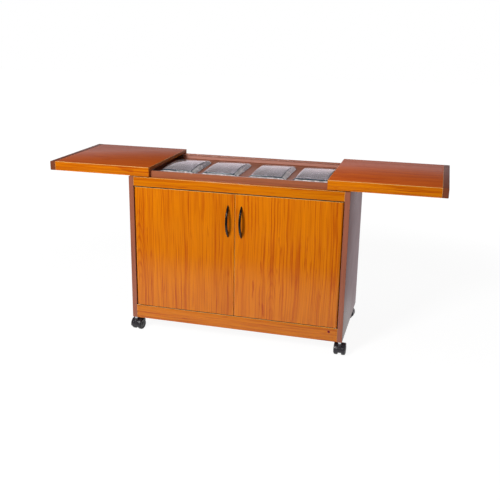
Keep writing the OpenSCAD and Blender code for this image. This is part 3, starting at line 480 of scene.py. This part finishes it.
def finish_mesh(name, bm, materials, nodes, body, smooth=35):
    """Turns a bmesh into a piece of the trolley, at the origin, that stands for the named nodes."""
    bmesh.ops.recalc_face_normals(bm, faces=bm.faces)
    mesh = bpy.data.meshes.new(name)
    bm.to_mesh(mesh)
    bm.free()
    mesh.shade_smooth()
    mesh.set_sharp_from_angle(angle=math.radians(smooth))
    for material in materials:
        mesh.materials.append(finish(material))
    piece = new_object(name, mesh)
    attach(piece, body)
    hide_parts(*nodes)
    return piece


def paint(material, *nodes):
    """Gives these nodes of the frame a finish."""
    for node in nodes:
        mesh = frame["nodes"][node].data
        mesh.materials.clear()
        mesh.materials.append(finish(material))
        for face in mesh.polygons:
            face.material_index = 0


def measured(node):
    """Lowest and highest corner, middle and half the size of a node."""
    low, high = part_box(node)
    return low, high, (low + high) / 2, (high - low) / 2


def welded(node):
    """Copy of a node's mesh with its loose triangles joined."""
    source = frame["nodes"][node]
    bm = bmesh.new()
    bm.from_mesh(source.data)
    bm.transform(source.matrix_world)
    bmesh.ops.remove_doubles(bm, verts=bm.verts, dist=WELD)
    return bm


def islands(node):
    """The lowest and highest corner of each separate part of a node."""
    bm = welded(node)
    left, boxes = set(bm.verts), []
    while left:
        queue = [left.pop()]
        part = list(queue)
        while queue:
            for link in queue.pop().link_edges:
                for vert in left.intersection(link.verts):
                    left.remove(vert)
                    queue.append(vert)
                    part.append(vert)
        boxes.append([Vector([pick(v.co[i] for v in part) for i in range(3)]) for pick in (min, max)])
    bm.free()
    return sorted(boxes, key=lambda box: tuple(box[0]))


def round_edges(bm, radius, band=None, sharp=40):
    """Rounds the sharp edges, and gives the rounds that don't look down the material of index band, a painted
    highlight where the edges catch the light.
    """
    bm.normal_update()
    edges = [e for e in bm.edges if len(e.link_faces) == 2 and e.calc_face_angle(0) > math.radians(sharp)]
    look = {} if band is None else {"material": band}
    bmesh.ops.bevel(
        bm, geom=edges, offset=radius, segments=3, profile=0.5, affect="EDGES", clamp_overlap=True, **look
    )
    bm.normal_update()
    # Rounds that look down lose the painted highlight and take the finish listed before it.
    for face in bm.faces:
        if band is not None and face.material_index == band and face.normal.z < -0.2:
            face.material_index = band - 1


def cut_through(bm, place, normal, clear_outer=False):
    """Cuts a mesh along a plane and returns the edges of the cut."""
    geom = bm.verts[:] + bm.edges[:] + bm.faces[:]
    cut = bmesh.ops.bisect_plane(bm, geom=geom, plane_co=place, plane_no=normal, clear_outer=clear_outer)
    return [part for part in cut["geom_cut"] if isinstance(part, bmesh.types.BMEdge)]


def board(node, name, material, slot=None, edge=None, band=None, under=None):
    """A board as large as its node, with rounded edges and, if wanted, another finish underneath: painted
    shade on its lower edge and face.
    """
    sizes = bpy.context.scene.trolley_sizes
    edge = edge or sizes.board_edge
    low, high, middle, half = measured(node)
    bm = bmesh.new()
    for v in bmesh.ops.create_cube(bm, size=2.0)["verts"]:
        v.co = middle + Vector(c * h for c, h in zip(v.co, half))
    round_edges(bm, edge, 1 if band else None)
    # Painted shade: the bottom face and a band along the lower edge get the dark gap finish.
    if under:
        height = low.z + max(edge, sizes.seam)
        cut_through(bm, (0, 0, height), (0, 0, 1))
        for face in bm.faces:
            if face.calc_center_median().z < height:
                face.material_index = 2
    looks = [look for look in (material, band, under) if look]
    return finish_mesh(name, bm, looks, [node], "cabinet")


def prism(bm, outline, along, start, stop):
    """Extrudes an outline of 2D points along X with (y, z), along Y with (x, z), or along Z with (x, y)."""

    def point(a, b, c):
        return {X: (c, a, b), Y: (a, c, b), Z: (a, b, c)}[along]

    skin(bm, [[point(a, b, c) for a, b in outline] for c in (start, stop)], capped=True)
    bmesh.ops.recalc_face_normals(bm, faces=bm.faces)


def turns(start, stop, steps):
    """Evenly spaced angles in radians, from start to stop in degrees."""
    return [math.radians(start + (stop - start) * i / steps) for i in range(steps + 1)]


def arc_points(cx, cy, r, start, stop, steps):
    return [(cx + r * math.cos(a), cy + r * math.sin(a)) for a in turns(start, stop, steps)]


def rounded_loop(middle, hx, hy, r, z, steps=8, along=0):
    """Level rounded rectangle, always in the same number and order of points, some along its sides in Y."""
    r = max(min(r, hx, hy), 1e-5)
    points = []
    for sx, sy, first in ((1, 1, 0), (-1, 1, 90), (-1, -1, 180), (1, -1, 270)):
        straight = sy * (hy - r)
        points += arc_points(middle.x + sx * (hx - r), middle.y + straight, r, first, first + 90, steps)
        if sx != sy:
            shares = [1 - 2 * (i + 1) / (along + 1) for i in range(along)]
            points += [(middle.x + sx * hx, middle.y + straight * share) for share in shares]
    return [(x, y, z) for x, y in points]


def bridge(bm, a, b):
    """Joins two rings of vertices with a band of faces."""
    for i in range(len(a)):
        j = (i + 1) % len(a)
        bm.faces.new((a[i], a[j], b[j], b[i]))


def skin(bm, loops, closed=False, capped=False):
    """Joins loops of 3D points, each with the same count, into a surface."""
    rings = [[bm.verts.new(p) for p in loop] for loop in loops]
    for a, b in zip(rings, rings[1:] + rings[: 1 if closed else 0]):
        bridge(bm, a, b)
    if capped:
        bm.faces.new(rings[0][::-1])
        bm.faces.new(rings[-1])
    return rings


def fill_arched(bm, ring, first):
    """Closes a loop with strips from side to side. Point number first is the left end of the back strip."""
    order = ring[first:] + ring[:first]
    low, high = 0, len(ring) - 1
    while high - low > 2:
        bm.faces.new((order[low], order[low + 1], order[high - 1], order[high]))
        low += 1
        high -= 1


def baked(name, tree, values, points=()):
    """Runs a Geometry Nodes tree with these inputs, on these points if it takes any, and returns its mesh."""
    cloud = bpy.data.meshes.new(name)
    cloud.from_pydata(points, [], [])
    holder = new_object(name, cloud)
    modifier = holder.modifiers.new(tree.name, "NODES")
    modifier.node_group = tree
    for item in tree.interface.items_tree:
        if item.item_type == "SOCKET" and item.in_out == "INPUT" and item.name in values:
            modifier[item.identifier] = values[item.name]
    bpy.context.view_layer.update()
    mesh = bpy.data.meshes.new_from_object(holder.evaluated_get(bpy.context.evaluated_depsgraph_get()))
    holder.modifiers.clear()
    bpy.data.objects.remove(holder)
    return mesh


def finish_tree(w, geometry, start, end):
    """Ends a Geometry Nodes tree with real geometry that has its Finish."""
    real = w.out("GeometryNodeRealizeInstances", {"Geometry": geometry})
    w.put(end[0], w.out("GeometryNodeSetMaterial", {"Geometry": real, "Material": start["Finish"]}))
    return w.tree


def bow_tree():
    """Bow of a handle: a round bar along an arc, narrowed to its tips."""
    inputs = {
        "Float": ("Arc radius", "Half angle", "Bar radius", "Tip radius", "Half length"),
        "Material": ("Finish",),
    }
    w, start, end = new_tree("GeometryNodeTree", "Bow handle", inputs, {"Geometry": ("Geometry",)})
    arc_inputs = {
        "Resolution": 73,
        "Radius": start["Arc radius"],
        "Start Angle": w.times(start["Half angle"], -1.0),
        "Sweep Angle": w.times(start["Half angle"], 2.0),
    }
    arc = w.out("GeometryNodeCurveArc", arc_inputs, mode="RADIUS")
    ring_inputs = {"Resolution": 32, "Radius": start["Bar radius"]}
    ring = w.out("GeometryNodeCurvePrimitiveCircle", ring_inputs, mode="RADIUS")
    bar = w.out("GeometryNodeCurveToMesh", {"Curve": arc, "Profile Curve": ring, "Fill Caps": True})
    place = w.split(w.out("GeometryNodeInputPosition"))
    share = w.math("ABSOLUTE", w.math("DIVIDE", place["Y"], start["Half length"]))
    bulge = w.minus(1.0, w.math("MINIMUM", w.math("POWER", share, 3.0), 1.0))
    tip = w.math("DIVIDE", start["Tip radius"], start["Bar radius"])
    narrow = w.plus(tip, w.times(w.minus(1.0, tip), bulge))
    moved = {"Geometry": bar, "Position": w.join(place["X"], place["Y"], w.times(place["Z"], narrow))}
    return finish_tree(w, w.out("GeometryNodeSetPosition", moved), start, end)


def pan_head_tree():
    """Screws with a pan head and a cross recess on every point, their heads towards +Y."""
    inputs = {"Geometry": ("Points",), "Float": ("Radius", "Height", "Shank"), "Material": ("Finish",)}
    w, start, end = new_tree("GeometryNodeTree", "Pan head screws", inputs, {"Geometry": ("Geometry",)})
    radius, shank = start["Radius"], start["Shank"]
    ball = w.out("GeometryNodeMeshUVSphere", {"Segments": 48, "Rings": 24, "Radius": 1.0})
    place = w.split(w.out("GeometryNodeInputPosition"))
    x, y = w.math("ABSOLUTE", place["X"]), w.math("ABSOLUTE", place["Y"])
    in_slot = w.math("LESS_THAN", w.math("MINIMUM", x, y), 0.13)
    recess = w.times(in_slot, w.math("LESS_THAN", w.math("MAXIMUM", x, y), 0.6))
    crown = w.math("POWER", w.math("MAXIMUM", place["Z"], 0.0), 0.6)
    crown = w.minus(crown, w.times(recess, w.times(crown, 0.5)))
    spot = w.join(w.times(place["X"], radius), w.times(place["Y"], radius), w.times(crown, start["Height"]))
    head = w.out("GeometryNodeSetPosition", {"Geometry": ball, "Position": spot})
    sizes = {"Vertices": 24, "Radius": w.times(radius, 0.45), "Depth": shank}
    pin = w.out("GeometryNodeMeshCylinder", sizes)
    sunk = {"Geometry": pin, "Translation": w.join(z=w.times(shank, -0.5))}
    screw = w.add("GeometryNodeJoinGeometry", {0: head})
    w.put(screw.inputs[0], w.out("GeometryNodeTransform", sunk))
    copied = {"Points": start["Points"], "Instance": screw.outputs[0], "Rotation": (-math.pi / 2, 0, 0)}
    return finish_tree(w, w.out("GeometryNodeInstanceOnPoints", copied), start, end)


# Operators


class Piece:
    """What every operator of the trolley shares."""

    bl_options = {"REGISTER", "UNDO"}


class TROLLEY_OT_finishes(Piece, bpy.types.Operator):
    """Makes the materials of the trolley"""

    bl_idname = "trolley.finishes"
    bl_label = "Finishes"

    def execute(self, context):
        make_materials()
        return {"FINISHED"}


class TROLLEY_OT_cabinet(Piece, bpy.types.Operator):
    """Boards, rails and panels of the cabinet, with rounded edges"""

    bl_idname = "trolley.cabinet"
    bl_label = "Cabinet"

    def execute(self, context):
        edge = context.scene.trolley_sizes.board_edge
        for side in SIDES:
            board(f"{side}_side_panel", f"{side}_side_board", "side_laminate")
        looks = ("rail_veneer", "teak_front")
        plinth = board("plinth_rail", "plinth_board", *looks, 0.8 * edge, "lacquered_edge")
        # Painted shade: the plinth's top face, in the gap under the doors, gets the dark gap finish.
        plinth.data.materials.append(finish("raw_edge"))
        for face in plinth.data.polygons:
            if face.normal.z > FACES_UP:
                face.material_index = 2
        board("top_rail", "top_rail_board", *looks, edge, "lacquered_edge", "raw_edge")
        board("base_board", "floor_board", "inner_board")
        board("cupboard_shelf", "shelf_board", "inner_board")
        board("back_panel", "back_board", "side_laminate", edge=0.3 * edge)
        low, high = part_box("side_edge_strips")
        thickness = high.y - low.y
        bm = bmesh.new()
        for side in SIDES:
            inner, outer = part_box(f"{side}_side_panel")
            outline = [(inner.x, high.y), (outer.x, high.y)]
            outline += arc_points(outer.x - thickness, high.y, thickness, 0, -90, 6)[1:]
            outline += arc_points(inner.x + thickness, high.y, thickness, -90, -180, 6)[:-1]
            prism(bm, outline, Z, low.z, high.z)
        finish_mesh("edge_strips", bm, ["brown_edging"], ["side_edge_strips"], "cabinet", 50)
        paint("inner_board", "top_board")
        paint("zinc_plate", "shelf_pins")
        paint("nylon", "corner_blocks", "door_bushes", "terminal_block")
        paint("black_moulding", "door_catch", "cord_gland", "internal_leads", "thermostat")
        return {"FINISHED"}


class TROLLEY_OT_doors(Piece, bpy.types.Operator):
    """The two doors, rounded about their pins, with their fittings"""

    bl_idname = "trolley.doors"
    bl_label = "Doors"

    def execute(self, context):
        edge = context.scene.trolley_sizes.board_edge
        for side, s in SIDES.items():
            low, high, middle, half = measured(f"{side}_door")
            inner, outer = sorted((abs(low.x), abs(high.x)))
            rounded = arc_points(outer - half.y, middle.y, half.y, -90, 90, 16)
            outline = [(inner, low.y), *rounded, (inner, high.y)]
            bm = bmesh.new()
            prism(bm, [(s * x, y) for x, y in outline], Z, low.z, high.z)
            round_edges(bm, edge, 1)
            # Painted shade on the doors' top faces, in the gap under the top rail; the left door's upright
            # rounds go without the painted edge highlight.
            for face in bm.faces:
                if face.normal.z > FACES_UP:
                    face.material_index = 2
                elif side == "left" and abs(face.normal.z) < 0.2:
                    face.material_index = 0
            looks = [f"door_{side}_veneer", "lacquered_edge", "raw_edge"]
            finish_mesh(f"{side}_door_board", bm, looks, [f"{side}_door"], f"{side}_door_leaf")
            paint("zinc_plate", f"{side}_door_fittings")
        return {"FINISHED"}


class TROLLEY_OT_handles(Piece, bpy.types.Operator):
    """The two bow handles on their feet"""

    bl_idname = "trolley.handles"
    bl_label = "Handles"

    def execute(self, context):
        tree = bow_tree()
        tip, sink, spare = 4 * MM, 3 * MM, math.radians(9)
        foot_place, foot_wide, foot_narrow = 48 * MM, 4.9 * MM, 4.0 * MM
        for side in SIDES:
            low, high, middle, half = measured(f"{side}_handle")
            bow = high.y - low.y - half.x
            chord = half.z - sink
            arc = (chord**2 + bow**2) / (2 * bow)
            values = {
                "Arc radius": arc,
                "Half angle": math.asin(chord / arc) + spare,
                "Bar radius": half.x,
                "Tip radius": tip,
                "Half length": half.z,
                "Finish": finish("handle_black"),
            }
            mesh = baked(f"{side}_bow", tree, values)
            bm = bmesh.new()
            bm.from_mesh(mesh)
            bmesh.ops.remove_doubles(bm, verts=bm.verts, dist=1e-6)
            for v in bm.verts:
                a, b, c = v.co
                v.co = (middle.x + c, high.y + arc - bow - a, middle.z + b)
            bmesh.ops.holes_fill(bm, edges=cut_through(bm, (0, high.y, 0), (0, 1, 0), clear_outer=True))
            reach = math.sqrt(arc**2 - foot_place**2) - (arc - bow)
            for end in (-1, 1):
                place = Matrix.Translation((middle.x, high.y, middle.z + end * foot_place))
                place @= Matrix.Rotation(math.radians(90), 4, "X")
                place @= Matrix.Translation((0, 0, reach / 2))
                sizes = {"radius1": foot_wide, "radius2": foot_narrow, "depth": reach}
                bmesh.ops.create_cone(bm, cap_ends=True, segments=32, matrix=place, **sizes)
            bpy.data.meshes.remove(mesh)
            nodes, body = [f"{side}_handle"], f"{side}_door_leaf"
            finish_mesh(f"{side}_bow_handle", bm, ["handle_black"], nodes, body, 50)
        return {"FINISHED"}


class TROLLEY_OT_top(Piece, bpy.types.Operator):
    """Frame, slide rails, deck plate and hot well"""

    bl_idname = "trolley.top"
    bl_label = "Top"

    def execute(self, context):
        low, high, middle, half = measured("top_frame")
        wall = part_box("slide_rails")[0].y - low.y
        e = context.scene.trolley_sizes.board_edge
        outer_corner, inner_corner = 2 * MM, 1 * MM
        bends = (1.5708, 1.05, 0.52, 0)
        profile = [(0, low.z)] + [(e - e * math.sin(a), high.z - e + e * math.cos(a)) for a in bends]
        loops = [rounded_loop(middle, half.x - out, half.y - out, outer_corner, z) for out, z in profile]
        for out, z in reversed(profile):
            loops.append(rounded_loop(middle, half.x - wall + out, half.y - wall + out, inner_corner, z))
        bm = bmesh.new()
        skin(bm, loops, closed=True)
        finish_mesh("frame_walls", bm, ["brown_frame"], ["top_frame"], "cabinet")
        paint("rail_enamel", "slide_rails")
        paint("brown_enamel", "deck_plate")
        paint("well_sheet", "hot_well", "heat_shield")
        paint("element_sheath", "heating_element")
        paint("zinc_plate", "element_clips")
        return {"FINISHED"}


class TROLLEY_OT_trays(Piece, bpy.types.Operator):
    """The two sliding trays: folded boards, end trims, brackets and glides"""

    bl_idname = "trolley.trays"
    bl_label = "Trays"

    def execute(self, context):
        edge = context.scene.trolley_sizes.tray_edge
        r = 3 * MM
        for side, s in SIDES.items():
            low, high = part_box(f"{side}_tray_aprons")
            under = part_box("left_tray_brackets")[1].z
            wall = high.z - under
            outline = [(low.y, low.z), (low.y + wall, low.z), (low.y + wall, under), (high.y - wall, under)]
            outline += [(high.y - wall, low.z), (high.y, low.z), (high.y, high.z), (low.y, high.z)]
            bm = bmesh.new()
            prism(bm, outline, X, low.x, high.x)
            for face in bm.faces:
                up = abs(face.normal.z) > 0.5 and face.calc_center_median().z > high.z - 1e-4
                face.material_index = 0 if up else 1
            # The upper rounds get the painted edge highlight, the lower ones the apron's veneer.
            round_edges(bm, edge, 2)
            inner_end = low.x if s > 0 else high.x
            for face in bm.faces:
                if abs(face.calc_center_median().x - inner_end) < 1.5 * edge and face.normal.z < 0.9:
                    face.material_index = 3
            body = f"{side}_tray"
            looks = [f"tray_{side}_top", f"tray_{side}_front", "lacquered_edge", "end_band"]
            nodes = [f"{body}_board", f"{body}_aprons"]
            finish_mesh(f"{body}_shell", bm, looks, nodes, body)
            low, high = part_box(f"{body}_end_trim")
            inner, outer = (low.x, high.x) if s > 0 else (-high.x, -low.x)
            outline = [(inner, low.z)] + arc_points(outer - r, low.z + r, r, -90, 0, 6)
            outline += arc_points(outer - r, high.z - r, r, 0, 90, 6) + [(inner, high.z)]
            bm = bmesh.new()
            prism(bm, [(s * x, z) for x, z in outline], Y, low.y, high.y)
            round_edges(bm, 0.8 * edge, sharp=60)
            finish_mesh(f"{side}_end_trim", bm, ["dark_trim"], [f"{body}_end_trim"], body, 50)
            paint("zinc_plate", f"{body}_brackets")
            paint("nylon", f"{body}_glides")
        return {"FINISHED"}


class TROLLEY_OT_dishes(Piece, bpy.types.Operator):
    """The four pressed glass dishes, hanging by their rims"""

    bl_idname = "trolley.dishes"
    bl_label = "Dishes"

    def execute(self, context):
        rim_wide, rim_thick, rim_round, lip = 13.5 * MM, 3.4 * MM, 1.5 * MM, 2 * MM
        wall, draft, foot = 4 * MM, 9 * MM, 8 * MM
        for n in range(1, 5):
            low, high, middle, half = measured(f"dish_{n}")
            rim_low = high.z - rim_thick

            def ring(inset, z, r):
                """Loop at height z, drawn in by inset from the bowl's mouth, its corners of r millimetres."""
                hx, hy = half.x - rim_wide - inset, half.y - rim_wide - inset
                return rounded_loop(middle, hx, hy, r * MM, z, 10)

            loops = []
            for a in turns(0, 90, 6):
                inset = draft + foot * 0.6 * (1 - math.sin(a))
                loops.append(ring(inset, low.z + foot * (1 - math.cos(a)), 9))
            loops.append(ring(draft * 0.35, low.z + 0.62 * (rim_low - low.z), 14))
            loops.append(ring(0, rim_low - 0.4 * MM, 16))
            loops.append(ring(-0.6 * MM, rim_low, 16.5))
            for a in turns(-90, 90, 4):
                out = rim_wide - rim_round + rim_round * math.cos(a)
                loops.append(ring(-out, rim_low + rim_thick / 2 + (rim_thick / 2) * math.sin(a), 14))
            for a in turns(0, 90, 3):
                loops.append(ring(wall - lip + lip * math.sin(a), high.z - lip * (1 - math.cos(a)), 13))
            loops.append(ring(wall + draft * 0.6, low.z + wall + 0.42 * (high.z - low.z), 11))
            for a in turns(0, 90, 6):
                inset = wall + draft + foot * 0.7 * (1 - math.cos(a))
                loops.append(ring(inset, low.z + wall + foot * (1 - math.sin(a)), 8))
            bm = bmesh.new()
            skin(bm, loops, capped=True)
            look = "clear_glass"
            finish_mesh(f"glass_dish_{n}", bm, [look], [f"dish_{n}"], f"dish_{n}_body", 60)
        return {"FINISHED"}


class TROLLEY_OT_lids(Piece, bpy.types.Operator):
    """The four glass lids: sloping sides and a top that is arched from end to end"""

    bl_idname = "trolley.lids"
    bl_label = "Lids"

    def execute(self, context):
        lean, arch, thick = 16.5 * MM, 8 * MM, 3.5 * MM
        # The first value is the share of the lid's height up to which its upright ends carry the painted
        # highlight.
        highlight_top, shoulder = 0.56, 0.80
        e = context.scene.trolley_sizes.glass_round
        steps, steep, rounded = 8, 0.35, range(3, 7)
        for n in range(1, 5):
            low, high, middle, half = measured(f"lid_{n}")
            tall = high.z - low.z
            curve = (half.y**2 + arch**2) / (2 * arch)

            def outline(share, inset, drop, r):
                """Loop at a share of the lid's height, drawn in by inset and let down by drop."""
                hx, hy = half.x - lean * share - inset, half.y - inset
                flat = rounded_loop(middle, hx, hy, r * MM, 0, steps, 14)
                sag = [curve - math.sqrt(curve**2 - (y - middle.y) ** 2) for _, y, _ in flat]
                return [(x, y, low.z + share * (tall - s) - drop) for (x, y, _), s in zip(flat, sag)]

            outer = [outline(0, 0, 0, 6), outline(highlight_top, 0, 0, 5), outline(shoulder, 0, 0, 4.5)]
            for a in turns(0, 90, 6)[1:]:
                outer.append(outline(shoulder + (1 - shoulder) * math.sin(a), e * (1 - math.cos(a)), 0, 4))
            inner = [outline(1, e + thick, thick, 3), outline(shoulder, thick, thick * 0.6, 3)]
            inner += [outline(0.5, thick, 0, 3), outline(0, thick, 0, 4)]
            bm = bmesh.new()
            rings = skin(bm, outer)
            bm.normal_update()
            count = len(rings[0])
            # Painted light on the lids: the lower front and back faces and the front half of the right slopes
            # get the painted highlight, the upper ends and the right shoulder the dark edge, and the left
            # slopes stay clear.
            for i, face in enumerate(bm.faces):
                across, along, rightwards = abs(face.normal.x), abs(face.normal.y), face.normal.x > 0
                band = i // count
                if along > steep:
                    face.material_index = 1 if band or across > 0.25 else 2
                elif across > steep and rightwards and band in rounded:
                    face.material_index = 1
                elif across > steep:
                    face.material_index = 2 if rightwards and face.calc_center_median().y < middle.y else 3
            under = skin(bm, inner)
            fill_arched(bm, rings[-1], steps + 1)
            fill_arched(bm, under[0], steps + 1)
            bridge(bm, under[-1], rings[0])
            looks = ["lid_glass", "glass_edge", "glass_end", "clear_glass"]
            finish_mesh(f"glass_lid_{n}", bm, looks, [f"lid_{n}"], f"lid_{n}_body", 60)
        return {"FINISHED"}


class TROLLEY_OT_casters(Piece, bpy.types.Operator):
    """Hoods, stems, sockets and wheels of the four casters"""

    bl_idname = "trolley.casters"
    bl_label = "Casters"

    def execute(self, context):
        for corner in CORNERS:
            for part, name, material, body, slot in (
                ("hood", "hood_shell", "hood_plastic", "caster", "caster_hood"),
                ("wheels", "wheel_pair", "wheel_plastic", "wheels", "caster_wheel"),
            ):
                node = f"{corner}_caster_{part}"
                bm = welded(node)
                finish_mesh(f"{corner}_{name}", bm, [material], [node], f"{corner}_{body}", 32)
        paint("zinc_plate", "caster_stems")
        paint("nylon", "caster_sockets")
        return {"FINISHED"}


class TROLLEY_OT_fittings(Piece, bpy.types.Operator):
    """Indicator lamp and the screws of the back panel"""

    bl_idname = "trolley.fittings"
    bl_label = "Fittings"

    def execute(self, context):
        paint("lamp_red", "indicator_lamp")
        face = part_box("back_panel")[1].y
        boxes = islands("back_panel_screws")
        low, high = boxes[0]
        values = {
            "Radius": min(context.scene.trolley_sizes.screw_head, (high.x - low.x) / 2),
            "Height": high.y - face,
            "Shank": face - low.y,
            "Finish": finish("zinc_plate"),
        }
        places = [((a.x + b.x) / 2, face, (a.z + b.z) / 2) for a, b in boxes]
        bm = bmesh.new()
        bm.from_mesh(baked("screws", pan_head_tree(), values, places))
        bmesh.ops.remove_doubles(bm, verts=bm.verts, dist=1e-7)
        finish_mesh("back_screws", bm, ["zinc_plate"], ["back_panel_screws"], "cabinet", 40)
        return {"FINISHED"}


class TROLLEY_OT_studio(Piece, bpy.types.Operator):
    """Pale floor, soft lamps, white surroundings and the camera"""

    bl_idname = "trolley.studio"
    bl_label = "Studio"

    def execute(self, context):
        studio = context.scene.trolley_studio
        self.add_floor(studio)
        self.add_world(studio)
        self.add_lamp("key_lamp", studio.key_place, (0, 0, 0.42), studio.key_size, studio.key)
        self.add_lamp("fill_lamp", (2.6, -2.6, 1.2), (0, 0, 0.42), 2.0, studio.fill)
        self.add_lamp("top_lamp", (0, -0.4, 3.0), (0, 0, 0.4), 2.2, studio.top)
        self.add_camera(studio)
        context.scene.view_settings.view_transform = "Standard"
        return {"FINISHED"}

    def rays(self, w):
        """Whether the camera sees something, straight or through glass, and whether it's mirrored."""
        rays = w.add("ShaderNodeLightPath").outputs
        return w.math("MAXIMUM", rays["Is Camera Ray"], rays["Is Transmission Ray"]), rays["Is Glossy Ray"]

    def add_floor(self, studio):
        """A floor that glows nearly white, whiter further out, and is mirrored darker at the front."""
        bm = bmesh.new()
        bmesh.ops.create_grid(bm, x_segments=2, y_segments=2, size=14.0)
        mesh = bpy.data.meshes.new("floor")
        bm.to_mesh(mesh)
        bm.free()
        material = bpy.data.materials.new("look_studio_floor")
        mesh.materials.append(material)
        w = emptied(material)
        seen, glossy = self.rays(w)
        place = w.out("ShaderNodeTexCoord", output="Object")
        y = w.split(place)["Y"]
        away = w.out("ShaderNodeVectorMath", {0: place}, "Value", operation="LENGTH")
        glow = w.out("ShaderNodeEmission", {"Strength": w.ramp(away, 1.3, 2.8, 0.93, 1.0)})
        pale = w.out("ShaderNodeBsdfDiffuse", {"Color": (0.16, 0.16, 0.16, 1)})
        shown = w.out("ShaderNodeAddShader", {0: pale, 1: glow})
        matt = w.out("ShaderNodeBsdfDiffuse", {"Color": (0.8, 0.8, 0.8, 1)})
        direct = w.out("ShaderNodeMixShader", {0: seen, 1: matt, 2: shown})
        sheen = {
            "Strength": w.times(w.ramp(y, -1.4, -0.45, 0.02, 1.0), w.ramp(y, 0.0, 0.8, 1.0, 0.7)),
            "Color": w.mix(w.ramp(y, 0.0, 0.8), WHITE, (*studio.cast, 1)),
        }
        mirrored = w.out("ShaderNodeEmission", sheen)
        choice = w.out("ShaderNodeMixShader", {0: glossy, 1: direct, 2: mirrored})
        w.add("ShaderNodeOutputMaterial", {"Surface": choice})
        new_object("floor", mesh)

    def add_world(self, studio):
        """White for the camera, dim for the light, dark in front and above for what glossy pieces mirror."""
        world = bpy.data.worlds.new("studio")
        bpy.context.scene.world = world
        w = emptied(world)
        seen, glossy = self.rays(w)
        way = w.split(w.out("ShaderNodeTexCoord", output="Generated"))
        behind = w.ramp(way["Y"], -0.3, 0.3, studio.front_dark, 1.0)
        low = w.ramp(way["Z"], 0.12, 0.42, 1.0, studio.high_dark)
        light = w.out("ShaderNodeMix", {0: glossy, 2: studio.sky, 3: w.times(behind, low)}, data_type="FLOAT")
        back = {
            "Color": w.mix(glossy, WHITE, (*studio.cast, 1)),
            "Strength": w.math("MAXIMUM", seen, light),
        }
        w.add("ShaderNodeOutputWorld", {"Surface": w.out("ShaderNodeBackground", back)})

    def add_lamp(self, name, place, aim, size, power):
        lamp = bpy.data.lights.new(name, "AREA")
        lamp.shape = "SQUARE"
        lamp.size = size
        lamp.energy = power
        holder = new_object(name, lamp)
        holder.location = place
        holder.rotation_euler = (Vector(aim) - Vector(place)).to_track_quat("-Z", "Y").to_euler()

    def add_camera(self, studio):
        camera = bpy.data.cameras.new("camera")
        camera.sensor_fit = "HORIZONTAL"
        camera.sensor_width = 36.0
        camera.lens = studio.lens
        camera.shift_x = studio.shift_x
        camera.shift_y = studio.shift_y
        camera.clip_end = 60.0
        holder = new_object("camera", camera)
        right = Vector(studio.camera_right).normalized()
        up = Vector(studio.camera_up)
        up = (up - up.dot(right) * right).normalized()
        turn = Matrix((right, up, right.cross(up))).transposed().to_4x4()
        holder.matrix_world = Matrix.Translation(studio.camera_place) @ turn
        bpy.context.scene.camera = holder


class TROLLEY_PT_panel(bpy.types.Panel):
    """Buttons and values of the trolley"""

    bl_label = "Food warmer trolley"
    bl_idname = "TROLLEY_PT_panel"
    bl_space_type = "VIEW_3D"
    bl_region_type = "UI"
    bl_category = "Trolley"

    def draw(self, context):
        column = self.layout.column()
        for operator in OPERATORS:
            column.operator(operator.bl_idname)
        for name, group in GROUPS.items():
            box = self.layout.box()
            box.label(text=group.__doc__)
            for key in group.__annotations__:
                box.prop(getattr(context.scene, name), key)


GROUPS = {"trolley_colours": TrolleyColours, "trolley_sizes": TrolleySizes, "trolley_studio": TrolleyStudio}
OPERATORS = (
    TROLLEY_OT_studio,
    TROLLEY_OT_finishes,
    TROLLEY_OT_cabinet,
    TROLLEY_OT_doors,
    TROLLEY_OT_handles,
    TROLLEY_OT_top,
    TROLLEY_OT_trays,
    TROLLEY_OT_dishes,
    TROLLEY_OT_lids,
    TROLLEY_OT_casters,
    TROLLEY_OT_fittings,
)
CLASSES = (*GROUPS.values(), *OPERATORS, TROLLEY_PT_panel)


def register():
    for cls in CLASSES:
        bpy.utils.register_class(cls)
    for name, group in GROUPS.items():
        setattr(bpy.types.Scene, name, bpy.props.PointerProperty(type=group))


def unregister():
    for name in GROUPS:
        delattr(bpy.types.Scene, name)
    for cls in reversed(CLASSES):
        bpy.utils.unregister_class(cls)


def main():
    register()
    for operator in OPERATORS:
        group, name = operator.bl_idname.split(".")
        getattr(getattr(bpy.ops, group), name)()


if __name__ == "__main__":
    main()
